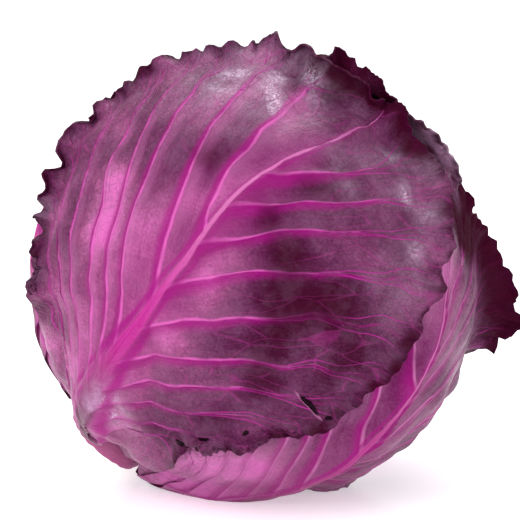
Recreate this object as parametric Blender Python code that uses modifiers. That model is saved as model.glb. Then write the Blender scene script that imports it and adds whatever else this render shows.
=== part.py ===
"""A red cabbage head, lying on its side on a small flat spot of its lower leaf.

Each wrapper leaf is drawn flat, on a plane whose y axis runs up its midrib, and is then laid
over the firm inner head. Metres, +Z up. The origin is on the flat spot, below the middle of the head.
"""

import math

import bmesh
import bpy
import numpy as np
from mathutils import Vector

# Driving dimensions, in metres and degrees
HEART_RADIUS = 0.0688      # firm inner head at its widest, without its own leaf relief
HEART_BASE_RISE = 0.02     # share by which the inner head is longer at the stalk
HEART_BASE_ANGLE = 30.0    # and how far from the stalk that reaches
HEART_SWELL = 0.03         # share by which it is fuller on one side, low at the crown end
HEART_SWELL_ANGLE = 38.0
HEART_STEP = 0.0009        # how far one packed leaf of the inner head stands over the next
LEAF_SPHERE = 0.080        # radius of the ball that the flat leaf outlines are measured on
CENTRE_HEIGHT = 0.0722     # middle of the head above the floor
AXIS_RISE = 48.0           # the crown end of the axis points this far above the level
AXIS_TURN = -11.5          # and this far from +X, towards the viewer
FIRST_LEAF = -12.0         # turn of the outermost leaf round the axis, from the viewer's side
LEAF_STEP = -144.0         # turn from each leaf to the next one inwards
LEAF_MIDDLE = 95.0         # angle from the stalk to the middle of a leaf

BLADE = 0.0013             # thickness of a leaf blade
MARGIN_BLADE = 0.0008      # and at its margin
MARGIN_TAPER = 0.020       # distance in which it thins towards the margin
LEAF_GAP = 0.0010          # air between one leaf and the next
SNUG = 0.002               # an outer leaf keeps its height this far beyond an inner margin
DRAPE = 0.012              # and has come down beside it here
FIRST_RISE = 0.001         # a rib starts to rise out from under an outer leaf here
FULL_RISE = 0.010          # and has its full height here
PRESSED_RIB = 0.22         # share of a rib's height that stays under an outer leaf
RIB_ROOM = 1.3             # room that an outer leaf leaves over a pressed midrib
RIB_BRIDGE = 0.62          # how broadly it bridges it

MIDRIB_BASE = 0.0068       # midrib: height at the stalk, and half width there and at the fork
MIDRIB_HALF = 0.0125
MIDRIB_TIP_HALF = 0.0030
MIDRIB_NARROWS = 1.3       # how fast it narrows, how fast it sinks, and how round its back is
MIDRIB_SINKS = 0.9
MIDRIB_ROUND = 1.6
MIDRIB_FORK = 0.066        # where it ends, above the leaf's middle
MIDRIB_ROOT = 0.1145       # its root at the stalk, below the leaf's middle
LATERALS = 8               # side veins on each half of a leaf
LATERAL_HEIGHT = 0.0017
LATERAL_HALF = 0.16        # half width of a side vein, as a share of the way to the next one
LATERAL_FULL = 0.06        # it has its full height here, on its way from midrib to margin
LATERAL_FADES = 0.10       # and sinks from here to the margin
PUFF = 0.0010              # how far the blade swells between two side veins
PANEL_START = (0.03, 0.20) # where the swelling begins and is full, on the way to the margin
PANEL_END = (0.80, 1.00)   # and where it ends

MARGIN_LIFT = 0.0022       # a free margin stands this far off
FRILL = 0.0032             # height of the waves along it
FRILL_LENGTH = 0.023       # and their length
FRILL_DEPTH = 0.016        # how far in from the margin they reach
FRILL_BASE = (162.0, 140.0)  # bearings between which they die out at the leaf's base
UNEVEN_BEAT = 0.37         # a slower wave that makes their lengths uneven, and its strength
UNEVEN_SHARE = 1.7
EVEN_STRIP = 0.012         # width of the margin strip where it isn't rolled

# The outline of a leaf: reach from its middle at each bearing from the tip, on either side
OUTLINE_BEARINGS = (0, 30, 60, 90, 118, 140, 158, 180)
OUTLINE_REACH = (0.104, 0.107, 0.099, 0.090, 0.077, 0.073, 0.097, 0.122)
BASE_BEARING = 168.0       # the two corners of the leaf base
NARROW_BASE = (140.0, 160.0)
LOBES = 3.0                # broad lobes in half a turn, and their depth
LOBE_DEPTH = 0.020

# Course of a side vein: where it leaves the midrib, and its bend as shares of its run
VEIN_SPREAD = 1.25
VEIN_CROWDING = 2.5
BEND_OUT = 0.42
BEND_UP = 0.62
BEND_RISE = 0.10

STALK_RADIUS = 0.0150
STALK_END = 0.0805         # cut face of the stalk, from the middle of the head
STALK_SEAT = 0.0011        # air between the stalk's seat and the inner head
STALK_SEAT_ANGLES = (0.0, 4.0, 8.0, 11.0)
STALK_FLARE = 0.0012       # height in which the seat widens to the full radius
STALK_BEVEL = 0.0012       # worn edge of the cut face: its height, and its radius as a share
STALK_WORN = 0.93
STALK_SIDES = 20

LEAF_ROWS = 64             # facets round a leaf from one base corner to the other
LEAF_COLUMNS = 10          # and from its midrib to its margin
HEART_MERIDIANS = 40
HEART_BELTS = 24
SEAM = 1e-6                # points nearer than this are one point

# Size, lean to the axis-turn side, phase of the lobes, and curls of each wrapper leaf. A curl is
# its bearing, half angle, width of the strip, and turn outwards. Bearings run from the leaf's
# tip, and are positive on the side that the axis turns to.
LEAVES = (
    dict(name="wrapper_leaf_1", turn=0, size=0.965, lean=-0.08, wave=0.3,
         curls=((-14, 22, 0.013, 150), (-98, 14, 0.010, 120), (-151, 9, 0.018, 50),
                (20, 12, 0.008, 60))),
    dict(name="wrapper_leaf_2", turn=1, size=1.02, lean=0.0, wave=1.9,
         curls=((25, 22, 0.012, 120), (-80, 24, 0.016, 70), (120, 14, 0.012, 80))),
    dict(name="wrapper_leaf_3", turn=2, size=0.95, lean=-0.13, wave=3.1,
         curls=((47, 25, 0.022, 82), (100, 16, 0.014, 50))),
    dict(name="wrapper_leaf_4", turn=3, size=0.97, lean=0.02, wave=4.4,
         curls=((-60, 24, 0.014, 75), (40, 16, 0.010, 60))),
    dict(name="wrapper_leaf_5", turn=4, size=1.03, lean=0.0, wave=5.2,
         curls=((70, 20, 0.010, 50),)),
)
# The next leaves inwards are packed flat, and show as steps in the skin of the inner head.
HEART_LEAVES = (
    dict(turn=5, size=0.98, lean=0.0, wave=0.0),
    dict(turn=6, size=0.93, lean=0.0, wave=1.0),
    dict(turn=7, size=0.88, lean=0.0, wave=2.0),
    dict(turn=8, size=0.83, lean=0.0, wave=3.0),
)


def smooth(x, low, high):
    """0 below low, 1 above high, and an even S between them."""
    f = np.clip((x - low) / (high - low), 0.0, 1.0)
    return f * f * (3.0 - 2.0 * f)


def head_axes():
    """The head's axis from stalk to crown, the side that faces the viewer, and the third axis."""
    rise, turn = math.radians(AXIS_RISE), math.radians(AXIS_TURN)
    axis = np.array([math.cos(rise) * math.cos(turn), math.cos(rise) * math.sin(turn), math.sin(rise)])
    front = np.array([math.sin(turn), -math.cos(turn), 0.0])
    return axis, front, np.cross(axis, front)


AXIS, FRONT, SIDE = head_axes()
CENTRE = np.array([0.0, 0.0, CENTRE_HEIGHT])
SWELL = np.array([0.72, -0.14, -0.68])


def leaf_axes(leaf):
    """Unit vectors at the middle of a leaf: outwards, to its right and up its midrib."""
    turn = math.radians(FIRST_LEAF + LEAF_STEP * leaf["turn"])
    away = math.cos(turn) * FRONT + math.sin(turn) * SIDE
    down = math.radians(LEAF_MIDDLE)
    middle = math.sin(down) * away - math.cos(down) * AXIS
    up = math.cos(down) * away + math.sin(down) * AXIS
    right = math.cos(turn) * SIDE - math.sin(turn) * FRONT
    return middle, right, up


def on_head(leaf, x, y):
    """Directions from the head's middle to points of the leaf's plane, laid on a ball."""
    middle, right, up = leaf_axes(leaf)
    flat = np.maximum(np.hypot(x, y), 1e-9)
    bend = flat / LEAF_SPHERE
    along = x[..., None] * right + y[..., None] * up
    return np.cos(bend)[..., None] * middle + (np.sin(bend) / flat)[..., None] * along


def in_leaf(leaf, directions):
    """The reverse of on_head: each direction's distance from the leaf's middle, and its bearing."""
    middle, right, up = leaf_axes(leaf)
    bend = np.arccos(np.clip(directions @ middle, -1.0, 1.0))
    bearing = np.degrees(np.arctan2(directions @ right, directions @ up))
    return bend * LEAF_SPHERE, bearing


def reach(leaf, bearing):
    """Distance from the leaf's middle to its margin, easing from one outline point to the next."""
    side = np.abs(bearing)
    last = len(OUTLINE_BEARINGS) - 2
    step = np.clip(np.searchsorted(OUTLINE_BEARINGS, side, side="right") - 1, 0, last)
    share = smooth(side, np.take(OUTLINE_BEARINGS, step), np.take(OUTLINE_BEARINGS, step + 1))
    even = (1.0 - share) * np.take(OUTLINE_REACH, step) + share * np.take(OUTLINE_REACH, step + 1)
    free = 1.0 - smooth(side, *NARROW_BASE)
    lobes = LOBE_DEPTH * np.sin(np.radians(bearing * LOBES) + leaf["wave"])
    lean = leaf["lean"] * np.sin(np.radians(bearing))
    return even * (1.0 + free * (leaf["size"] - 1.0 + lobes + lean))


def covered(leaf, directions, start, end):
    """1 where the leaf covers a direction and for start beyond its margin, easing to 0 at end."""
    distance, bearing = in_leaf(leaf, directions)
    return 1.0 - smooth(distance - reach(leaf, bearing), start, end)


def midrib(x, y):
    """Height of the midrib: a rounded ridge that narrows and sinks from the stalk to its fork."""
    up = np.clip((y + MIDRIB_ROOT) / (MIDRIB_FORK + MIDRIB_ROOT), 0.0, 1.0)
    half = MIDRIB_HALF * (1.0 - up) ** MIDRIB_NARROWS + MIDRIB_TIP_HALF
    height = MIDRIB_BASE * (1.0 - up) ** MIDRIB_SINKS
    return height * np.exp(-MIDRIB_ROUND * (x / half) ** 2)


def exposed(index, directions):
    """1 where no leaf outside this one covers it, 0 where one does."""
    free = np.ones(directions.shape[:-1])
    for outer in LEAVES[:index]:
        free = free * (1.0 - covered(outer, directions, FIRST_RISE, FULL_RISE))
    return free


def heart_surface(directions):
    """Radius of the firm inner head: a slightly uneven ball, with its packed leaves' steps."""
    from_stalk = np.degrees(np.arccos(np.clip(-(directions @ AXIS), -1.0, 1.0)))
    from_swell = np.degrees(np.arccos(np.clip(directions @ SWELL, -1.0, 1.0)))
    longer = HEART_BASE_RISE * np.exp(-((from_stalk / HEART_BASE_ANGLE) ** 2))
    fuller = HEART_SWELL * np.exp(-((from_swell / HEART_SWELL_ANGLE) ** 2))
    radius = HEART_RADIUS * (1.0 + longer + fuller)
    for leaf in HEART_LEAVES:
        radius = radius + HEART_STEP * covered(leaf, directions, 0.0, DRAPE)
    return radius


def layers_under(index, directions):
    """Height of the inner leaves, with their midribs and the air between, below leaf index."""
    height = np.zeros(directions.shape[:-1])
    for inner in LEAVES[index + 1:]:
        distance, bearing = in_leaf(inner, directions)
        x = distance * np.sin(np.radians(bearing))
        y = distance * np.cos(np.radians(bearing))
        rib = RIB_ROOM * PRESSED_RIB * midrib(RIB_BRIDGE * x, y)
        height = height + (BLADE + LEAF_GAP + rib) * covered(inner, directions, SNUG, DRAPE)
    return height


def layers_over(index, directions):
    """Thickness of the leaves that lie outside leaf index, where they cover it."""
    height = np.zeros(directions.shape[:-1])
    for outer in LEAVES[:index]:
        height = height + (BLADE + LEAF_GAP) * covered(outer, directions, SNUG, DRAPE)
    return height


def vein_grid(leaf, along, across):
    """Point of the leaf's plane. Along runs -1 to 1 from one base corner round the tip to the other.

    Across runs 0 to 1 from the midrib to the margin, on a curve that leaves the midrib forwards
    and bends outwards, as a side vein does.
    """
    share = np.abs(along) ** VEIN_SPREAD
    bearing = np.sign(along) * BASE_BEARING * share
    root = (MIDRIB_FORK + MIDRIB_ROOT) * (1.0 - share) ** VEIN_CROWDING - MIDRIB_ROOT
    edge = reach(leaf, bearing)
    edge_x, edge_y = edge * np.sin(np.radians(bearing)), edge * np.cos(np.radians(bearing))
    bend_x = BEND_OUT * edge_x
    bend_y = root + BEND_UP * (edge_y - root) + BEND_RISE * np.abs(edge_x)
    a, b, c = (1.0 - across) ** 2, 2.0 * across * (1.0 - across), across**2
    return b * bend_x + c * edge_x, a * root + b * bend_y + c * edge_y


def curl(leaf, bearing, from_margin, free):
    """How far a strip along the margin moves in and up when it is rolled outwards on an arc."""
    turn = np.ones(bearing.shape)
    strip = np.full(bearing.shape, EVEN_STRIP)
    for at, half, width, angle in leaf["curls"]:
        weight = np.exp(-(((bearing - at) / half) ** 4))
        turn = turn + weight * angle
        strip = strip + weight * (width - EVEN_STRIP)
    past = np.maximum(strip - from_margin, 0.0)
    bend = np.maximum(np.radians(turn) * free, 1e-4) / strip
    return np.sin(bend * past) / bend - past, (1.0 - np.cos(bend * past)) / bend


def frill(leaf, bearing, from_margin):
    """Height of the waves along a free margin; they die out inwards and at the leaf's base."""
    near = np.clip(1.0 - from_margin / FRILL_DEPTH, 0.0, 1.0) ** 2
    beat = np.radians(bearing) * LEAF_SPHERE * 2.0 * math.pi / FRILL_LENGTH
    uneven = UNEVEN_SHARE * np.sin(UNEVEN_BEAT * beat + leaf["wave"])
    wave = 0.5 + 0.5 * np.sin(beat + uneven)
    return near * (MARGIN_LIFT + FRILL * wave) * smooth(np.abs(bearing), *FRILL_BASE)


def inner_face(index, along, across):
    """Points of a leaf's inner face, its thickness there, and the least height above the floor."""
    leaf = LEAVES[index]
    x, y = vein_grid(leaf, along, across)
    distance = np.hypot(x, y)
    bearing = np.degrees(np.arctan2(x, y))
    from_margin = reach(leaf, bearing) - distance
    free = exposed(index, on_head(leaf, x, y))

    drawn_in, rolled_up = curl(leaf, bearing, from_margin, free)
    scale = (distance + drawn_in) / np.maximum(distance, 1e-9)
    directions = on_head(leaf, x * scale, y * scale)

    vein = LATERALS * (1.0 - np.abs(along)) + 0.5
    panel = smooth(across, *PANEL_START) * (1.0 - smooth(across, *PANEL_END))
    puff = PUFF * np.sin(np.pi * vein) ** 2 * panel
    ridge = np.exp(-(((vein - np.round(vein)) / LATERAL_HALF) ** 2))
    rise = smooth(across, 0.0, LATERAL_FULL) * (1.0 - smooth(across, LATERAL_FADES, 1.0))

    thick = MARGIN_BLADE + (BLADE - MARGIN_BLADE) * smooth(from_margin, 0.0, MARGIN_TAPER)
    thick = thick + (PRESSED_RIB + (1.0 - PRESSED_RIB) * free) * midrib(x, y)
    thick = thick + free * LATERAL_HEIGHT * ridge * rise

    radius = heart_surface(directions) + LEAF_GAP + layers_under(index, directions)
    radius = radius + rolled_up + free * (puff + frill(leaf, bearing, from_margin))
    return CENTRE + directions * radius[..., None], thick, layers_over(index, directions)


def clear_scene():
    """Take away whatever the scene starts with."""
    for old in list(bpy.data.objects):
        bpy.data.objects.remove(old)


def skin(name, colour, roughness):
    """A plain material."""
    material = bpy.data.materials.new(name)
    material.use_nodes = True
    shader = material.node_tree.nodes["Principled BSDF"]
    shader.inputs["Base Color"].default_value = (*colour, 1.0)
    shader.inputs["Roughness"].default_value = roughness
    shader.inputs["Metallic"].default_value = 0.0
    return material


def add_node(collection, name, mesh, material):
    """An object for a finished mesh."""
    node = bpy.data.objects.new(name, mesh)
    mesh.materials.append(material)
    mesh.shade_smooth()
    collection.objects.link(node)
    return node


def make_leaf(collection, index, material):
    """A grid is laid over the head, joined along the midrib, and drawn out into a leaf.

    The drawn-out face stands off by each point's own thickness, so the ribs are real, and both
    faces share one pattern of triangles.
    """
    sheet = bmesh.new()
    bmesh.ops.create_grid(sheet, x_segments=LEAF_ROWS, y_segments=LEAF_COLUMNS, size=1.0)
    grid = np.array([vert.co[:] for vert in sheet.verts])
    across = 0.5 - 0.5 * np.cos(math.pi * (grid[:, 1] + 1.0) / 2.0)
    points, thick, floor = inner_face(index, grid[:, 0], across)

    at = sheet.verts.layers.int.new("grid_point")
    for number, vert in enumerate(sheet.verts):
        vert.co = points[number]
        vert[at] = number
    bmesh.ops.remove_doubles(sheet, verts=sheet.verts, dist=SEAM)
    bmesh.ops.triangulate(sheet, faces=sheet.faces, quad_method="SHORT_EDGE")
    sheet.normal_update()
    outwards = {vert[at]: vert.normal.copy() for vert in sheet.verts}
    middle = Vector(CENTRE)
    facing = math.copysign(1.0, sum(vert.normal.dot(vert.co - middle) for vert in sheet.verts))

    drawn = bmesh.ops.extrude_face_region(sheet, geom=sheet.faces[:], use_keep_orig=True)
    outer = {item for item in drawn["geom"] if isinstance(item, bmesh.types.BMVert)}
    for vert in sheet.verts:
        number = vert[at]
        lowest = floor[number]
        if vert in outer:
            vert.co += outwards[number] * (facing * thick[number])
        else:
            lowest += MARGIN_BLADE
        vert.co.z = max(vert.co.z, lowest)
    bmesh.ops.recalc_face_normals(sheet, faces=sheet.faces)
    mesh = bpy.data.meshes.new(LEAVES[index]["name"])
    sheet.to_mesh(mesh)
    sheet.free()
    return add_node(collection, LEAVES[index]["name"], mesh, material)


def make_heart(collection, material):
    """The firm inner head: a ball whose radius carries the steps of its packed leaves."""
    ball = bmesh.new()
    bmesh.ops.create_uvsphere(ball, u_segments=HEART_MERIDIANS, v_segments=HEART_BELTS, radius=1.0)
    upright = np.array([vert.co.normalized()[:] for vert in ball.verts])
    directions = upright @ np.array([FRONT, SIDE, AXIS])
    points = CENTRE + directions * heart_surface(directions)[:, None]
    floor = layers_over(len(LEAVES), directions) + LEAF_GAP
    for number, vert in enumerate(ball.verts):
        vert.co = points[number]
        vert.co.z = max(vert.co.z, floor[number])
    bmesh.ops.recalc_face_normals(ball, faces=ball.faces)
    mesh = bpy.data.meshes.new("heart")
    ball.to_mesh(mesh)
    ball.free()
    return add_node(collection, "heart", mesh, material)


def stalk_profile():
    """Radius and distance from the head's middle: across the seat, down the side, over the cut."""
    seat = []
    for degrees in STALK_SEAT_ANGLES:
        angle = math.radians(degrees)
        direction = -math.cos(angle) * AXIS + math.sin(angle) * FRONT
        radius = float(heart_surface(direction[None])[0]) + STALK_SEAT
        seat.append((radius * math.sin(angle), radius * math.cos(angle)))
    side = [(STALK_RADIUS, seat[-1][1] + STALK_FLARE), (STALK_RADIUS, STALK_END - STALK_BEVEL)]
    return seat + side + [(STALK_WORN * STALK_RADIUS, STALK_END), (0.0, STALK_END)]


def make_stalk(collection, material):
    """The cut stalk: a profile turned round the head's axis."""
    mesh = bpy.data.meshes.new("stalk")
    points = [(radius, 0.0, -depth) for radius, depth in stalk_profile()]
    mesh.from_pydata(points, [(k, k + 1) for k in range(len(points) - 1)], [])
    stalk = add_node(collection, "stalk", mesh, material)
    turn = stalk.modifiers.new("turn", "SCREW")
    turn.axis = "Z"
    turn.steps = turn.render_steps = STALK_SIDES
    turn.use_merge_vertices = True
    turn.merge_threshold = 0.0001
    turn.use_normal_calculate = True
    stalk.location = CENTRE
    stalk.rotation_mode = "QUATERNION"
    stalk.rotation_quaternion = Vector(AXIS).to_track_quat("Z", "Y")
    return stalk


def main():
    """Build the head from the inside outwards."""
    clear_scene()
    cabbage = bpy.data.collections.new("red_cabbage")
    bpy.context.scene.collection.children.link(cabbage)
    make_heart(cabbage, skin("heart_skin", (0.48, 0.20, 0.36), 0.40))
    make_stalk(cabbage, skin("stalk_skin", (0.66, 0.55, 0.50), 0.60))
    leaf_skin = skin("leaf_skin", (0.30, 0.07, 0.20), 0.45)
    for index in range(len(LEAVES)):
        make_leaf(cabbage, index, leaf_skin)


main()
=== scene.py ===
"""Finish of a red cabbage head: its leaves, inner head and cut stalk, worked out in metres."""
import math
from types import SimpleNamespace
import bpy
import numpy as np
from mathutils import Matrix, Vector


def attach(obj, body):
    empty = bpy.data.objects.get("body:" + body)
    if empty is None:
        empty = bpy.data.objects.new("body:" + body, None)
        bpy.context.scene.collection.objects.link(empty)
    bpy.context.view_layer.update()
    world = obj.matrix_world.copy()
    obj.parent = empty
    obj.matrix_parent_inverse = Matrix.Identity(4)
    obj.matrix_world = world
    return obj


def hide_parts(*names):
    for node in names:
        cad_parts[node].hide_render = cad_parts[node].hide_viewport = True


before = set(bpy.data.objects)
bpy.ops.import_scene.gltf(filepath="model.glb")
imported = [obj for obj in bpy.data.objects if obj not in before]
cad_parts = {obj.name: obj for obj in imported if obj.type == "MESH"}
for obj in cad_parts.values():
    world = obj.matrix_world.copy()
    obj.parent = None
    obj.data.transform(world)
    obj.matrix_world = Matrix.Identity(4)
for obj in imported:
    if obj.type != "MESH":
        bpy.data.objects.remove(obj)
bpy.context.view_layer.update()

# Form of the head, as in the solids: metres and degrees
HEART_RADIUS = 0.0688
HEART_BASE_RISE = 0.02
HEART_BASE_ANGLE = 30.0
HEART_SWELL = 0.03
HEART_SWELL_ANGLE = 38.0
HEART_STEP = 0.0009
LEAF_SPHERE = 0.080
CENTRE_HEIGHT = 0.0722
AXIS_RISE = 48.0
AXIS_TURN = -11.5
FIRST_LEAF = -12.0
LEAF_STEP = -144.0
LEAF_MIDDLE = 95.0
BLADE = 0.0013
MARGIN_BLADE = 0.0008
MARGIN_TAPER = 0.020
LEAF_GAP = 0.0010
SNUG = 0.002
DRAPE = 0.012
FIRST_RISE = 0.001
FULL_RISE = 0.010
PRESSED_RIB = 0.22
RIB_ROOM = 1.3
RIB_BRIDGE = 0.62
MIDRIB_BASE = 0.0068
MIDRIB_HALF = 0.0125
MIDRIB_TIP_HALF = 0.0030
MIDRIB_NARROWS = 1.3
MIDRIB_SINKS = 0.9
MIDRIB_ROUND = 1.6
MIDRIB_FORK = 0.066
MIDRIB_ROOT = 0.1145
MARGIN_LIFT = 0.0022
FRILL = 0.0032
FRILL_LENGTH = 0.023
FRILL_DEPTH = 0.016
FRILL_BASE = (162.0, 140.0)
UNEVEN_BEAT = 0.37
UNEVEN_SHARE = 1.7
EVEN_STRIP = 0.012
OUTLINE_BEARINGS = (0, 30, 60, 90, 118, 140, 158, 180)
OUTLINE_REACH = (0.104, 0.107, 0.099, 0.090, 0.077, 0.073, 0.097, 0.122)
BASE_BEARING = 168.0
NARROW_BASE = (140.0, 160.0)
LOBES = 3.0
LOBE_DEPTH = 0.020
VEIN_SPREAD = 1.73
VEIN_CROWDING = 1.64
RIGHT_BEND = (0.454, 0.20, 0.491)     # outwards, up, and rise for its distance from the midrib
LEFT_BEND = (0.72, 0.64, 0.48)
BASE_BEND = (0.42, 0.62, 0.10)
RIGHT_VEINS = (0.0, 0.255, 0.345, 0.412, 0.49, 0.567, 0.64, 0.70, 0.76, 0.83, 0.90, 1.0)
LEFT_VEINS = (0.0, 0.40, 0.52, 0.62, 0.67, 0.72, 0.785, 0.85, 0.92, 1.0)
LEFT_SHEAR = 0.14
STALK_RADIUS = 0.0150
STALK_END = 0.0805

# Finer form that the finish adds
PUFF = 0.0011                 # blister of a panel between two side veins: height and length
PUFF_LENGTH = 0.018
SWAY = 0.0007                 # slow unevenness of a blade: height and length
SWAY_LENGTH = 0.034
LATERAL_HEIGHT = 0.0019       # side vein: height, half width at the midrib and at the margin
LATERAL_WIDE = 0.0024
LATERAL_FINE = 0.0007
BRANCH_HEIGHT = 0.00045       # branch of a side vein: height, half width, where it starts, its swing
BRANCH_HALF = 0.0007
BRANCH_START = (0.22, 0.55)
BRANCH_SWING = 0.34
WANDER_LENGTHS = (0.055, 0.024)            # slow and quick swaying of the side veins
TOOTH_LENGTHS = (0.019, 0.0105, 0.0045)    # lobes, teeth and small teeth of the margin
CRIMP_LENGTHS = (0.0095, 0.0046)           # wide and close folds of the margin, and their strips
CRIMP_HEIGHTS = (0.0013, 0.0007)
CRIMP_STRIPS = (0.014, 0.0065)
NARROWEST_ROLL = 0.004
TEAR_DEPTH = 0.0010           # tear: depth, height of its lips and the thinnest blade left below it
TEAR_LIP = 0.0006
TEAR_FLOOR = 0.0004
RIB_COLOUR = (0.0002, 0.0070, 0.0005)      # half width of its colour: least, added low, added below its tip
MOTTLE_LENGTH = 0.030         # lengths of the changes in tone, in the dark margin, and in the waxy coat with its painted sheen
RAGGED_LENGTH = 0.012
WAX_AND_SHEEN_LENGTH = 0.016
DARK_MARGIN = 0.009
HEAD_GRID = (170, 320)        # inner head: rings and points in a ring
HEAD_UNEVEN = 0.0004          # its slow unevenness, and the groove along a packed leaf's margin
HEAD_UNEVEN_LENGTH = 0.030
HEAD_GROOVE = 0.0006
HEAD_GROOVE_HALF = 0.0010
HEAD_VEIN_BASE = 0.125        # its veins' fan: distance of its foot, length, veins in one radian
HEAD_VEIN_LENGTH = 0.22
HEAD_VEINS = 16.0

# Camera, fitted to the photo: what it looks at, degrees above level, and half of what it shows
CAMERA_TARGET = (0.0015, 0.0, 0.0778)
CAMERA_RISE = 10.0
CAMERA_DISTANCE = 1.1
HALF_FRAME = 0.0885
SENSOR = 36.0
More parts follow.
